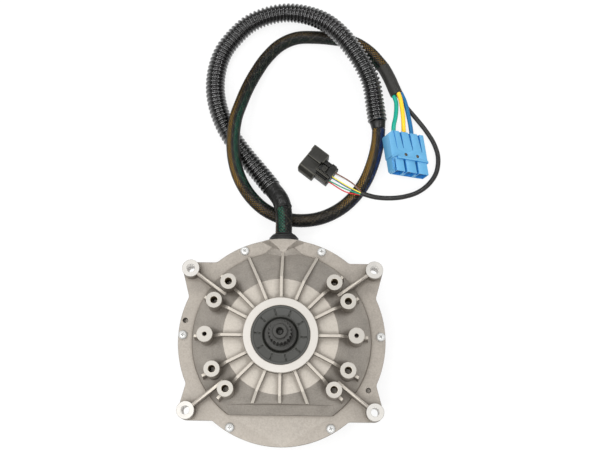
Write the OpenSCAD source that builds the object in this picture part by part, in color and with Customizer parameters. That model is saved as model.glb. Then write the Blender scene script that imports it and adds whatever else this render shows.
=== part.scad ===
// Flat flange motor with a cast ribbed cover, a splined output shaft and a wiring harness.
// Millimetres. The motor lies on its rear cover, its shaft points up along +Z, and the
// harness leaves the rim towards +Y and lies on the same surface as the motor.

/* [Overall] */
// Radius of the round joint flange
flange_r = 100; // [98:0.5:102]
// Thickness of the front cover's flange
flange_t = 9; // [8:0.5:11]
// Height of the rear cover, from its resting face to the joint face
rear_h = 36; // [35:0.5:40]

/* [Front cover] */
// Radius where the domed slope meets the flange
bowl_r = 86.5; // [85:0.5:88]
// Small upright step at the foot of the slope
bowl_step = 3; // [2:0.5:4]
// Radius of the flat plateau round the pilot ring
plateau_r = 53.9; // [52:0.5:56]
// Height of the plateau above the flange
plateau_h = 35.6; // [34:0.2:37]
// Outer radius of the machined pilot ring
ring_r = 34.75; // [34:0.25:36]
// Height of the pilot ring above the flange
ring_h = 45; // [44:0.5:46]
// How far the pilot ring stands above the rib tops
pilot_h = 3; // [2:0.5:4]
// Thickness of the cast wall
wall_t = 5; // [4:0.5:5.5]
// Thickness of the radial ribs
rib_w = 2.8; // [2.2:0.2:4]
// Radius where the long ribs run out on the flange
rib_end_r = 88.5; // [87:0.5:90]
// Distance of the straight lower edge of the dome from the shaft axis
chord_y = 61.5; // [60:0.5:64]

/* [Fixing bosses] */
// Radius of the circle of tall bosses
boss_pcd_r = 70; // [68:0.5:72]
// Radius of a tall boss at its machined top
boss_r = 7.4; // [7:0.2:8]
// Radius of the tapped holes in the eight frame bosses
boss_hole_r = 3.4; // [3:0.1:3.6]
// Radius of the tapped holes in the two side bosses
side_hole_r = 2.1; // [1.8:0.1:2.5]
// Depth of the tapped holes
boss_hole_l = 20; // [16:1:22]
// Angle of the lower frame boss from the side boss
boss_angle_a = 27; // [26:0.5:28]
// Angle of the upper frame boss from the side boss
boss_angle_b = 45; // [44:0.5:46]

/* [Corner ears] */
// Reach of the corner boss centres past the flange rim
ear_reach = 11.5; // [11:0.25:12.5]
// Angle of the corner ears from the side boss
ear_angle = 37.26; // [36.5:0.1:38]
// Radius of a corner boss
ear_boss_r = 8.7; // [8:0.2:9.2]
// Height of a corner boss above the flange
ear_boss_h = 14.2; // [12:0.2:16]
// Radius of a corner hole
ear_hole_r = 4.2; // [3.2:0.1:4.6]
// Radius of the hollow corner between an ear and the round flange
ear_fillet_r = 7; // [5:0.5:8]

/* [Flange screws] */
// Distance of the screw circle inside the flange rim
screw_inset = 4.6; // [4.4:0.1:5]
// Radius of a screw shank
screw_r = 2.5; // [2:0.1:2.6]
// Radius of a pan head
screw_head_r = 4.3; // [4:0.1:4.4]
// Height of a pan head
screw_head_h = 3.2; // [2.5:0.1:3.6]
// Length of a screw under its head
screw_l = 16; // [14:0.5:17]
// Radius of the two spare holes in the flange
spare_hole_r = 2.5; // [2:0.1:2.6]

/* [Rear cover] */
// Thickness of the wall round the stator
cup_wall = 8; // [7:0.5:9]
// Thickness of the rear cover's joint flange
rear_rim_t = 10; // [8:0.5:12]
// Depth of the ribs and of the rim under the base plate
foot_h = 4; // [3:0.5:5]
// Thickness of the base plate
base_t = 4; // [3:0.5:5]
// Radius of the flat centre pad
pad_r = 33; // [32:0.5:36]
// Thickness of the ribs under the base plate
foot_rib_w = 4; // [3:0.5:5]

/* [Output shaft] */
// Radius of the shaft collar in the seal and in the front bearing
shaft_r = 15; // [14.5:0.25:15.5]
// Radius of the shaft journal in the rear bearing
tail_r = 12.5; // [12:0.25:13]
// Radius of the shaft under the rotor hub
seat_r = 17; // [16.5:0.25:17.5]
// Tip radius of the spline teeth
spline_r = 11; // [10.5:0.25:12]
// Depth of the spline teeth
spline_depth = 1.5; // [1:0.1:2]
// Length of the splined end
spline_l = 20; // [16:1:24]
// Radius of the nose
nose_r = 7; // [6:0.25:8]
// Length of the nose
nose_l = 4.6; // [3:0.2:6]
// Radius of the centre hole
centre_hole_r = 2.4; // [2:0.1:3]

/* [Bearings and seal] */
// Outer radius of the front bearing
front_brg_r = 31; // [30.5:0.25:31.5]
// Width of the front bearing
front_brg_w = 16; // [15:0.5:17]
// Ball radius of the front bearing
front_ball_r = 4.76; // [4.4:0.02:4.9]
// Outer radius of the rear bearing
rear_brg_r = 26; // [25.5:0.25:26.5]
// Width of the rear bearing
rear_brg_w = 15; // [14:0.5:16]
// Ball radius of the rear bearing
rear_ball_r = 3.97; // [3.6:0.02:4.1]
// Outer radius of the oil seal
seal_r = 27.5; // [27:0.25:28]
// Width of the oil seal
seal_w = 8; // [7:0.5:8]

/* [Stator and rotor] */
// Outer radius of the stator stack
stator_r = 77; // [76:0.5:78]
// Length of the stator stack
stack_l = 22; // [18:1:22]
// Radius of the bore through the stator teeth
stator_bore_r = 54; // [53.5:0.25:55]
// Air gap between the magnets and the teeth
air_gap = 0.6; // [0.5:0.1:0.9]
// Thickness of a magnet
magnet_t = 3.4; // [2.5:0.1:4]

/* [Harness] */
// Radius of the braided sleeve where it leaves the motor
exit_r = 8.5; // [8:0.25:8.7]
// Radius of the corrugated loom over its ribs
loom_r = 10.3; // [9.8:0.1:10.5]
// Radius of the corrugated loom between its ribs
loom_valley_r = 8.9; // [8.7:0.1:9.2]
// Radius of the bore of the corrugated loom
loom_bore_r = 8.2; // [7.8:0.1:8.3]
// Radius of the long braided sleeve
sleeve_r = 7; // [6.5:0.1:7]
// Radius of the shrink tube at the end of the braided sleeve
wrap_r = 6.9; // [6.5:0.1:7]
// Radius of a phase lead
lead_r = 2.1; // [1.8:0.1:2.2]
// Radius of the sensor cable
sensor_r = 2.5; // [2:0.1:2.6]
// Radius of a thin sensor wire
wire_r = 0.65; // [0.5:0.05:0.7]

/* [Power connector] */
// Width of the power connector
plug_w = 41.5; // [40:0.5:43]
// Length of the power connector
plug_l = 44; // [42:0.5:46]
// Height of the power connector
plug_h = 14; // [13:0.5:15]
// Distance between two poles
pole_pitch = 13.5; // [13:0.25:14]

/* [Sensor connector] */
// Width of the sensor connector's shroud
sense_w = 30; // [28:0.5:31]
// Length of the sensor connector's shroud
sense_l = 19.5; // [18:0.5:21]
// Height of the sensor connector's shroud
sense_h = 16; // [15:0.5:17]
// Width of the sensor connector's rear body
sense_body_w = 21.5; // [20:0.5:23]
// Length of the sensor connector's rear body
sense_body_l = 15.5; // [14:0.5:17]

/* [Hidden] */
$fn = 96;

// Clearances and overruns
cut = 1;            // overrun of a cut past the face that it opens
seat_gap = 0.02;    // radial gap of a piece in its fixed seat
run_gap = 0.05;     // radial gap of a running fit
soft_gap = 0.3;     // gap round a soft or loose piece
root_sink = 1.5;    // how far a cast rib or boss is sunk into the wall that carries it
min_w = 1;          // least edge of a swept profile

// Levels along the shaft axis
flange_z = rear_h + flange_t;
ring_z = flange_z + ring_h;
plateau_z = flange_z + plateau_h;
bowl_z = flange_z + bowl_step;
rib_z = ring_z - pilot_h;
seal_recess = 0.5;
seal_z = ring_z - seal_recess - seal_w;
land_t = 3.5;
front_brg_z = seal_z - land_t - front_brg_w;
clip_t = 1.8;
rear_floor_z = 6;
washer_t = 1;
rear_brg_z = rear_floor_z + washer_t;
rear_brg_top = rear_brg_z + rear_brg_w;
abut_t = 1;
rotor_clip_z = rear_brg_top + abut_t + clip_t / 2;
rotor_z = rotor_clip_z + clip_t;
rotor_hub_l = 18;
rotor_top_z = rotor_z + rotor_hub_l;
stack_z = 14;
stack_top_z = stack_z + stack_l;

// Front cover
cone_fall = plateau_h - bowl_step;
cone_run = bowl_r - plateau_r;
cone_slope = cone_fall / cone_run;
wall_drop = wall_t * sqrt(1 + cone_slope * cone_slope);
front_bore_r = stator_r + 3;
front_hub_r = front_brg_r + 6;
front_hub_l = 4;
land_r = seal_r - 2.5;
pilot_step = 0.4;
rib_kink_r = plateau_r + 1.6;
rib_end_h = 2;
rib_fall = (rib_z - flange_z - rib_end_h) / (rib_end_r - rib_kink_r);
stub_r = boss_pcd_r + boss_r + 4.1;
stub_h = 30;
stub_foot = 1.6;
boss_root_h = 10;
boss_draft = 0.5;
chord_x = 62;
chord_top_h = 10;
chord_foot_y = chord_y + 9.3;
shelf_t = 3.5;
ear_r = flange_r + ear_reach;
ear_x = ear_r * cos(ear_angle);
ear_y = ear_r * sin(ear_angle);
ear_side_angle = -15;
ear_corner_bite = 0.15;
ear_step = 0.3;
ear_rib_w = 3.2;
ear_rib_in_r = 67;
ear_rib_rise = 23;
ear_rib_drop = 2.2;
long_rib_angles = [90, 67.5, 112.5, 270, 247.5, 292.5];
boss_angles = [0, boss_angle_a, boss_angle_b, 180 - boss_angle_b, 180 - boss_angle_a, 180,
    180 + boss_angle_a, 180 + boss_angle_b, -boss_angle_b, -boss_angle_a];
frame_boss_angles = [for (a = boss_angles) if (a != 0 && a != 180) a];
side_boss_angles = [0, 180];
ear_angles = [ear_angle, 180 - ear_angle, 180 + ear_angle, -ear_angle];

// Hood over the cable outlet
hood_h = 4.5;
hood_rim_w = 34;
hood_in_w = 8;
hood_in_r = 88.5;
hood_flank = 10;
hood_out_r = flange_r + 2;
hood_inset = 0.2;

// Flange screws and spare holes
screw_pcd_r = flange_r - screw_inset;
screw_angles = [66.7, 113.3, 2.7, 177.3, -60, -120];
spare_hole_angles = [168.7, -29.1];
screw_recess_r = 1.7;
screw_recess_h = 1.8;
screw_crown_r = 3.1;
screw_edge_h = 1.5;
screw_hole_gap = 0.25;

// Rear cover
cup_r = stator_r + cup_wall;
floor_z = foot_h + base_t;
seat_shoulder = 2;
rear_edge = 6;
rear_hub_r = rear_brg_r + 6;
foot_rim_w = 5;
foot_rib_count = 12;
rear_lug_h = 8;
rear_lug_r = screw_inset - 0.3;
outlet_z = 24;
outlet_slot_r = 11;
outlet_block_w = 36;
outlet_in_y = stator_r - 7;
grommet_lip_y = flange_r + soft_gap;
grommet_end_y = 110;
grommet_neck_y = stator_r + 3.5;
grommet_r = 15;
grommet_side_y = 104;
grommet_mid_r = 13.8;
grommet_mid_y = 107;
grommet_end_r = 10.6;

// Joint ring between the two covers
joint_ring_r = cup_r + 2;
joint_ring_w = 3;
joint_ring_t = 2;

// Shaft
abut_r = 15.6;
mid_r = 18;
chamfer = 0.8;
collar_top_z = ring_z + 1;
spline_top_z = collar_top_z + spline_l;
tip_z = spline_top_z + nose_l;
spline_count = 20;
tooth_foot_share = 0.62;
tooth_tip_share = 0.30;
centre_hole_l = 9;
centre_cone_r = 3.6;
centre_cone_l = 2.2;
key_w = 6;
key_l = 14;
key_h = 5;
key_sink = 2.6;
clip_lip = 1.4;
clip_out = 2.2;
clip_opening = 9;

// Bearings
front_pitch_r = (shaft_r + front_brg_r) / 2;
rear_pitch_r = (tail_r + rear_brg_r) / 2;
ball_count = 9;
race_share = 0.62;
ball_gap = 0.03;
cage_gap = 0.12;
cage_w_share = 0.30;
cage_l_share = 1.16;
washer_lip = 4;

// Stator
slot_count = 18;
stator_band = stator_r - stator_bore_r;
yoke_t = stator_band * 6 / 23;
tooth_w = 8;
shoe_w = 14;
shoe_t = stator_band * 2.4 / 23;
bobbin_t = 0.8;
coil_t = 4.2;
coil_end_t = 4;
coil_side_gap = 1.2;
coil_in_r = stator_bore_r + shoe_t + coil_side_gap;
coil_out_r = stator_r - yoke_t - coil_side_gap;
board_in_r = stator_bore_r + 4;
board_out_r = stator_r - yoke_t;
board_t = 1.6;
board_arc = 66;
board_angle = 57;
board_chip_w = 4;
board_chip_h = 1.2;

// Rotor
rotor_r = stator_bore_r - air_gap;
rim_r = rotor_r - magnet_t;
rim_w = 6;
rim_over = 1;
rotor_hub_r = 25;
web_t = 6;
web_z = rotor_z + 4;
web_hole_r = 6;
web_hole_count = 8;
magnet_count = 16;
magnet_share = 0.86;

// Oil seal
seal_face_r = 17.4;
seal_lip_z = 4.5;
seal_throat_r = 16.3;
seal_notch_count = 10;
seal_notch_w = 0.9;
seal_notch_in_r = 18.6;
seal_notch_out_r = 24.2;
seal_notch_d = 0.5;
seal_notch_turn = 31;
seal_spring_wire_r = 0.9;
seal_cavity_out_r = 25;

// Power connector
plug_x = 124.55;
plug_y = 198.65;
plug_z = 15.9;
plug_turn = 7.7;
plug_roll = 24;
plug_pitch = -3;
plug_skew = 0.12;
plug_split_y = -7.2;
plug_step = 0.6;
pole_mid = 0.8;
pole_shift = 0.7;
pole_x = [-pole_pitch, pole_mid, pole_pitch + pole_shift];
socket_w = 10.4;
socket_h = 8.4;
socket_l = 15;
socket_z = -4.6;
groove_x = [-9.7, 3.5, 16.7];
groove_w = 1.3;
groove_d = 0.8;
groove_end_y = 2;
gap_x = [-6, 7.7];
gap_w = 1.9;
gap_d = 4.4;
entry_x = [-11.5, 0.8, 10.6];
entry_r = 3;
entry_l = 8;
contact_w = 8;
contact_t = 2;
contact_l = 12;
plug_pin_x = [-3.7, 9.8];
plug_pin_y = -3.4;
plug_pin_r = 1.1;

// Sensor connector
sense_x = 48.6;
sense_y = 175.6;
sense_turn = -38;
sense_wall = 1.8;
sense_gap_w = 1.8;
sense_mouth_l = 8;
sense_edge = 1.6;
sense_body_h = 13;
sense_body_z = 1.2;
terminal_r = 1.1;
terminal_l = 6;
terminal_pitch = 4.4;
terminal_rows = 2;
terminal_cols = 3;
lock_w = 8.5;
lock_l = 14;
lock_h = 2.4;
lock_bar_l = 3;
rail_w = 1.6;
rail_l = 22;
rail_h = 1.6;
seal_block_t = 2.4;
seal_block_inset = 2;

// Harness routes: points chosen along the photographed run, each [x, y, z]
exit_route = [[0, 110, 24], [0, 119, 24.4], [0, 128, 24.6], [-1, 137, 24]];
start_wrap_route = [[-1, 137, 24], [-4, 146, 21.6], [-8, 153, 18.6], [-13, 160, 15.6]];
loom_route = [
    [-13, 160, 15.6], [-26, 177, 12.4], [-40, 194, 10.8], [-53, 211, 10.6], [-64, 229, 10.6],
    [-72, 249, 10.6], [-76, 270, 10.6], [-75, 292, 10.6], [-69, 313, 10.6], [-57, 331, 10.6],
    [-42, 346, 10.8], [-23, 355, 12], [-2, 358, 14.6], [19, 354, 18.4], [38, 345, 22.4],
    [54, 331, 25.4], [68, 314, 25.2], [80, 296, 22.2], [89, 277, 17.4], [93, 256, 13.2],
    [96, 235, 12.6]
];
tape_end = [97, 228, 12];
sleeve_route = [
    [97, 228, 12], [95.6, 211, 10.6], [91, 191, 8.6], [83, 171, 7.2], [71, 154, 7.2],
    [56, 141, 7.2], [37, 132, 7.2], [16, 129, 7.2], [-4, 132, 7.2], [-23, 141, 9.6],
    [-38, 155, 15.4], [-48, 172, 22], [-53, 191, 27.2], [-54, 211, 29], [-52, 232, 27],
    [-47, 251, 22.6], [-41, 270, 17.6], [-33, 289, 13], [-23, 307, 9.6], [-9, 323, 7.6],
    [9, 332, 7.2], [30, 333, 7.2], [51, 331, 7.2], [71, 327, 7.2], [88, 316, 7.2],
    [102, 300, 7.2]
];
end_wrap_route = [[102, 300, 7.2], [107, 291, 7.2], [112, 280, 7.2], [117, 268, 7.2]];
green_route = [
    [113.6, 266.6, 8], [116, 257.4, 9.6], [115, 242, 13.6], [112.4, 229, 17.8],
    [111.78, 214.68, 19.65]
];
yellow_route = [
    [118.2, 268.5, 11.4], [120.8, 259, 11.8], [122.6, 243.4, 12.8], [123, 229.6, 14],
    [123.15, 214.47, 14.73]
];
blue_route = [
    [121.3, 269.8, 8.2], [125.6, 259, 8.4], [128.6, 244.6, 9.2], [131, 229, 10.2],
    [132.21, 214.3, 10.81]
];
sensor_route = [
    [119, 268.8, 3.7], [128, 255, 2.9], [138.4, 242, 2.8], [148, 229, 2.8], [156, 215, 2.8],
    [160, 200, 2.8], [158, 184, 2.8], [150, 171, 3.4], [138, 161, 6], [124, 155, 10],
    [109, 152, 14], [93, 152, 17.2], [78, 156, 17.4]
];
red_route = [[77.59, 154.45, 16.5], [62, 158.6, 13.4], [45.3, 171.33, 5.2]];
green_wire_route = [[77.59, 154.45, 18.3], [62.4, 161, 15.4], [45.3, 171.33, 9.4]];
yellow_wire_route = [[78, 156, 18.3], [64.6, 164, 14.8], [48.62, 175.58, 9.8]];
blue_wire_route = [[78, 156, 16.5], [65, 163, 13.4], [48.62, 175.58, 5.2]];
white_wire_route = [[78.41, 157.55, 16.5], [68.8, 168, 13.2], [51.95, 179.84, 5.2]];
brown_wire_route = [[78.41, 157.55, 18.3], [68, 168.4, 15], [51.95, 179.84, 9.6]];
exit_dir = [0, 1, 0];
wrap_dir = [-1, 9, -1.4];
loom_dir = [-13, 17, -3.6];
tape_dir = [3, -21, -2];
end_wrap_dir = [12, -20, 0];
lead_dir = [10, -24, 0];
plug_dir = [0.134, -0.99, 0.052];
pin_dir = [-0.788, 0.616, 0];
sensor_dir = [-15, 4, 0];
tube_sides = 12;
thin_sides = 8;
loom_sides = 8;
loom_ribs = 100;
bore_step = 4;

// Vector helpers
function unit(v) = v / norm(v);
function turned(p, a) = [p[0] * cos(a) - p[1] * sin(a), p[0] * sin(a) + p[1] * cos(a)];
function side_of(t) = unit(cross([0, 0, 1], t));
function ring(c, t, r, sides) =
    let (s = side_of(t), u = cross(t, s))
    [for (j = [0 : sides - 1]) let (a = (j + 0.5) * 360 / sides) c + r * (cos(a) * s + sin(a) * u)];
function band(a, b, sides) = [for (j = [0 : sides - 1]) let (k = (j + 1) % sides)
    each [[a + j, b + k, a + k], [a + j, b + j, b + k]]];
function band_in(a, b, sides) = [for (j = [0 : sides - 1]) let (k = (j + 1) % sides)
    each [[a + j, a + k, b + k], [a + j, b + k, b + j]]];

// Smooth curve through the points of a route, at segment i and fraction t
function point_at(p, i) = i < 0 ? 2 * p[0] - p[1]
    : i >= len(p) ? 2 * p[len(p) - 1] - p[len(p) - 2] : p[i];
function curve(a, b, c, d, t) = (2 * b + (c - a) * t + (2 * a - 5 * b + 4 * c - d) * t * t
    + (3 * b - a - 3 * c + d) * t * t * t) / 2;
function slope(a, b, c, d, t) = ((c - a) + 2 * (2 * a - 5 * b + 4 * c - d) * t
    + 3 * (3 * b - a - 3 * c + d) * t * t) / 2;
function along(p, s) = let (i = min(floor(s), len(p) - 2), t = s - i)
    curve(point_at(p, i - 1), point_at(p, i), point_at(p, i + 1), point_at(p, i + 2), t);
function heading(p, s) = let (i = min(floor(s), len(p) - 2), t = s - i)
    unit(slope(point_at(p, i - 1), point_at(p, i), point_at(p, i + 1), point_at(p, i + 2), t));

// Plain round tube along a route, with given directions at both ends
module tube(route, r, sides, dir_a, dir_b) {
    n = len(route);
    dirs = [for (i = [0 : n - 1]) i == 0 ? unit(dir_a) : i == n - 1 ? unit(dir_b)
        : unit(route[i + 1] - route[i - 1])];
    pts = [for (i = [0 : n - 1]) each ring(route[i], dirs[i], r, sides)];
    walls = [for (i = [0 : n - 2]) each band(i * sides, (i + 1) * sides, sides)];
    start_cap = [for (j = [0 : sides - 1]) j];
    end_cap = [for (j = [0 : sides - 1]) n * sides - 1 - j];
    polyhedron(points = pts, faces = concat(walls, [start_cap, end_cap]), convexity = 8);
}

// Ribbed hose with a bore: two outer rings a rib, and an inner ring every few outer ones
module ribbed_tube(route, crest, valley, bore, ribs, sides, step, dir_a, dir_b) {
    rings = 2 * ribs;
    runs = len(route) - 1;
    inner = rings / step;
    function place(i) = along(route, runs * i / rings);
    function way(i) = i == 0 ? unit(dir_a) : i == rings ? unit(dir_b)
        : heading(route, runs * i / rings);
    outer_pts = [for (i = [0 : rings]) each ring(place(i), way(i), i % 2 == 0 ? valley : crest, sides)];
    inner_pts = [for (i = [0 : inner]) each ring(place(i * step), way(i * step), bore, sides)];
    base = (rings + 1) * sides;
    walls = [for (i = [0 : rings - 1]) each band(i * sides, (i + 1) * sides, sides)];
    bores = [for (i = [0 : inner - 1]) each band_in(base + i * sides, base + (i + 1) * sides, sides)];
    start_face = band_in(0, base, sides);
    end_face = band(rings * sides, base + inner * sides, sides);
    polyhedron(points = concat(outer_pts, inner_pts),
        faces = concat(walls, bores, start_face, end_face), convexity = 12);
}

// Small shape helpers
module at_angles(angles) {
    for (a = angles) rotate(a) children();
}
module tube_ring(outer, inner, length) {
    difference() {
        cylinder(r = outer, h = length);
        translate([0, 0, -cut]) cylinder(r = inner, h = length + 2 * cut);
    }
}
// Upright plate of a given thickness whose outline is drawn as [radius, height]
module upright(thick) {
    rotate([90, 0, 0]) linear_extrude(height = thick, center = true) children();
}
module centred(w, l, h) {
    translate([-w / 2, -l / 2, 0]) cube([w, l, h]);
}

// Plan of one corner ear, on +X: straight sides, and hollow corners tangent to the round flange
function fillet_centre(p, d, n, rf) =
    let (q = p + n * rf, b = q * d, e = flange_r - ear_corner_bite + rf, s = sqrt(b * b - q * q + e * e))
    q + d * (-b - s);
module ear_plan() {
    tip = [ear_x, ear_y];
    top = tip + [0, ear_boss_r];
    side = tip + ear_boss_r * [cos(ear_side_angle), sin(ear_side_angle)];
    top_dir = [-1, 0];
    side_dir = [sin(ear_side_angle), -cos(ear_side_angle)];
    ca = fillet_centre(top, top_dir, [0, 1], ear_fillet_r);
    cb = fillet_centre(side, side_dir, [cos(ear_side_angle), sin(ear_side_angle)], ear_fillet_r);
    ta = [ca[0], top[1]];
    tb = cb - ear_fillet_r * [cos(ear_side_angle), sin(ear_side_angle)];
    difference() {
        polygon([[0, 0], cb, tb, side, top, ta, ca]);
        translate(ca) circle(r = ear_fillet_r);
        translate(cb) circle(r = ear_fillet_r);
    }
    translate(tip) circle(r = ear_boss_r);
}
module flange_plan() {
    circle(r = flange_r);
    ear_plan();
    mirror([1, 0]) ear_plan();
    mirror([0, 1]) ear_plan();
    mirror([1, 0]) mirror([0, 1]) ear_plan();
}

// Front cover: flange, dome, pilot ring, ribs and bosses
module dome_shell() {
    rotate_extrude() polygon([
        [0, flange_z - root_sink], [bowl_r, flange_z - root_sink], [bowl_r, flange_z],
        [bowl_r - bowl_step / 4, bowl_z], [plateau_r, plateau_z], [0, plateau_z]
    ]);
}
module rib_outline(end_r) {
    end_h = rib_z - rib_fall * (end_r - rib_kink_r);
    polygon([
        [seal_r + min_w, plateau_z - root_sink], [seal_r + min_w, rib_z], [rib_kink_r, rib_z],
        [end_r, end_h], [end_r, end_r > bowl_r ? flange_z - root_sink
            : bowl_z + (bowl_r - end_r) * cone_slope - root_sink],
        [plateau_r, plateau_z - root_sink]
    ]);
}
module long_rib() {
    upright(rib_w) rib_outline(rib_end_r);
}
module boss_rib() {
    upright(rib_w) rib_outline(boss_pcd_r);
    upright(rib_w) polygon([
        [boss_pcd_r, flange_z + boss_root_h], [boss_pcd_r, flange_z + stub_h],
        [stub_r, flange_z + stub_h], [stub_r + stub_foot, bowl_z],
        [stub_r - boss_r, bowl_z]
    ]);
}
module tall_boss() {
    translate([boss_pcd_r, 0, flange_z + boss_root_h])
        cylinder(r1 = boss_r + boss_draft, r2 = boss_r, h = ring_h - boss_root_h);
}
module boss_hole(r) {
    translate([boss_pcd_r, 0, ring_z - boss_hole_l]) cylinder(r = r, h = boss_hole_l + cut);
}
module ear_rib() {
    upright(ear_rib_w) polygon([
        [ear_rib_in_r, flange_z + ear_rib_rise - wall_t], [ear_rib_in_r, flange_z + ear_rib_rise],
        [ear_r, flange_z + ear_boss_h - ear_rib_drop], [ear_r, flange_z - root_sink],
        [bowl_r, flange_z - root_sink]
    ]);
}
module ear_bosses() {
    for (sx = [-1, 1]) for (sy = [-1, 1]) translate([sx * ear_x, sy * ear_y, rear_h])
        cylinder(r = ear_boss_r - ear_step, h = flange_t + ear_boss_h);
}
module hood() {
    foot_half = hood_rim_w / 2 + hood_flank;
    foot_in_half = hood_in_w / 2 + hood_flank;
    intersection() {
        cylinder(r = flange_r - hood_inset, h = flange_z + hood_h + cut);
        hull() {
            translate([0, 0, flange_z - root_sink]) linear_extrude(height = root_sink) polygon([
                [-foot_in_half, hood_in_r], [foot_in_half, hood_in_r],
                [foot_half, hood_out_r], [-foot_half, hood_out_r]]);
            translate([0, 0, flange_z]) linear_extrude(height = hood_h) polygon([
                [-hood_in_w / 2, hood_in_r], [hood_in_w / 2, hood_in_r],
                [hood_rim_w / 2, hood_out_r], [-hood_rim_w / 2, hood_out_r]]);
        }
    }
}
module chord_cut() {
    rotate([90, 0, 90]) translate([0, 0, -chord_x]) linear_extrude(height = 2 * chord_x) polygon([
        [-chord_y, flange_z + chord_top_h], [-chord_y, ring_z + cut], [-flange_r - cut, ring_z + cut],
        [-flange_r - cut, flange_z], [-chord_foot_y, flange_z], [-chord_foot_y, bowl_z]
    ]);
}
module front_cavity() {
    difference() {
        rotate_extrude() polygon([
            [0, rear_h - cut], [front_bore_r, rear_h - cut],
            [front_bore_r, bowl_z - wall_drop + (bowl_r - front_bore_r) * cone_slope],
            [plateau_r - wall_t / 2, plateau_z - wall_t],
            [front_hub_r, plateau_z - wall_t], [front_hub_r, front_brg_z - front_hub_l],
            [0, front_brg_z - front_hub_l]
        ]);
        translate([-flange_r, -flange_r, flange_z - shelf_t])
            cube([2 * flange_r, flange_r - chord_y + wall_t, ring_h + shelf_t]);
    }
    translate([0, 0, rear_h - cut]) cylinder(r = front_brg_r, h = front_brg_z + front_brg_w - rear_h + cut);
    cylinder(r = land_r, h = ring_z + cut);
    translate([0, 0, seal_z]) cylinder(r = seal_r, h = seal_w + seal_recess + cut);
    translate([0, 0, front_brg_z - clip_t]) cylinder(r = front_brg_r + clip_lip, h = clip_t);
}
module front_cover() color([0.74, 0.72, 0.67]) {
    difference() {
        union() {
            translate([0, 0, rear_h]) linear_extrude(height = flange_t) flange_plan();
            difference() {
                union() {
                    dome_shell();
                    at_angles(long_rib_angles) long_rib();
                    at_angles(boss_angles) boss_rib();
                }
                chord_cut();
            }
            translate([0, 0, plateau_z - wall_t]) {
                cylinder(r = ring_r + pilot_step, h = rib_z - plateau_z + wall_t);
                cylinder(r = ring_r, h = ring_z - plateau_z + wall_t);
            }
            at_angles(boss_angles) tall_boss();
            at_angles(ear_angles) ear_rib();
            ear_bosses();
            hood();
        }
        front_cavity();
        at_angles(frame_boss_angles) boss_hole(boss_hole_r);
        at_angles(side_boss_angles) boss_hole(side_hole_r);
        at_angles(ear_angles) translate([ear_r, 0, rear_h - cut])
            cylinder(r = ear_hole_r, h = flange_t + ear_boss_h + 2 * cut);
        at_angles(screw_angles) translate([screw_pcd_r, 0, rear_h - cut])
            cylinder(r = screw_r + screw_hole_gap, h = flange_t + hood_h + 2 * cut);
        at_angles(spare_hole_angles) translate([screw_pcd_r, 0, rear_h - cut])
            cylinder(r = spare_hole_r, h = flange_t + 2 * cut);
    }
}

// Rear cover: cup round the stator, joint flange, bearing hub, ribs and rim that it rests on
module rear_body() {
    rotate_extrude() polygon([
        [0, foot_h], [cup_r - rear_edge, foot_h], [cup_r, foot_h + rear_edge],
        [cup_r, rear_h - rear_rim_t], [flange_r, rear_h - rear_rim_t], [flange_r, rear_h],
        [0, rear_h]
    ]);
    tube_ring(cup_r - rear_edge, cup_r - rear_edge - foot_rim_w, floor_z);
    cylinder(r = pad_r, h = floor_z);
    at_angles([for (i = [0 : foot_rib_count - 1]) i * 360 / foot_rib_count])
        translate([pad_r - min_w, -foot_rib_w / 2, 0])
            cube([cup_r - rear_edge - foot_rim_w - pad_r + 2 * min_w, foot_rib_w, floor_z]);
    at_angles(screw_angles) translate([screw_pcd_r, 0, rear_h - rear_rim_t - rear_lug_h]) {
        cylinder(r = rear_lug_r, h = rear_lug_h);
        translate([cup_r - screw_pcd_r - min_w, -rear_lug_r, 0])
            cube([screw_pcd_r - cup_r + min_w, 2 * rear_lug_r, rear_lug_h]);
    }
    translate([-outlet_block_w / 2, outlet_in_y, floor_z])
        cube([outlet_block_w, cup_r + 3 - outlet_in_y, rear_h - floor_z]);
}
// Slot of the cable outlet, open at the joint face
module outlet_shape(r, y0, y1, top) {
    translate([0, y1, outlet_z]) rotate([90, 0, 0]) cylinder(r = r, h = y1 - y0);
    translate([-r, y0, outlet_z]) cube([2 * r, y1 - y0, top - outlet_z]);
}
module rear_cover() color([0.72, 0.70, 0.66]) {
    difference() {
        rear_body();
        difference() {
            union() {
                translate([0, 0, floor_z]) cylinder(r = stator_r - seat_shoulder, h = rear_h);
                translate([0, 0, stack_z]) cylinder(r = stator_r, h = rear_h);
            }
            cylinder(r = rear_hub_r, h = rear_brg_top);
        }
        translate([0, 0, rear_floor_z]) cylinder(r = rear_brg_r, h = rear_h);
        outlet_shape(outlet_slot_r, outlet_in_y, flange_r + cut, rear_h + cut);
        at_angles(screw_angles) translate([screw_pcd_r, 0, flange_z - screw_l - min_w])
            cylinder(r = screw_r + seat_gap, h = screw_l + 2 * min_w);
        translate([0, 0, rear_h - joint_ring_t]) tube_ring(joint_ring_r + joint_ring_w / 2,
            joint_ring_r - joint_ring_w / 2, joint_ring_t + cut);
    }
}
module joint_ring() color([0.12, 0.12, 0.12]) {
    difference() {
        translate([0, 0, rear_h - joint_ring_t]) tube_ring(joint_ring_r + joint_ring_w / 2 - seat_gap,
            joint_ring_r - joint_ring_w / 2 + seat_gap, joint_ring_t);
        outlet_shape(outlet_slot_r + soft_gap, outlet_in_y, flange_r + cut, rear_h + cut);
    }
}
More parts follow.
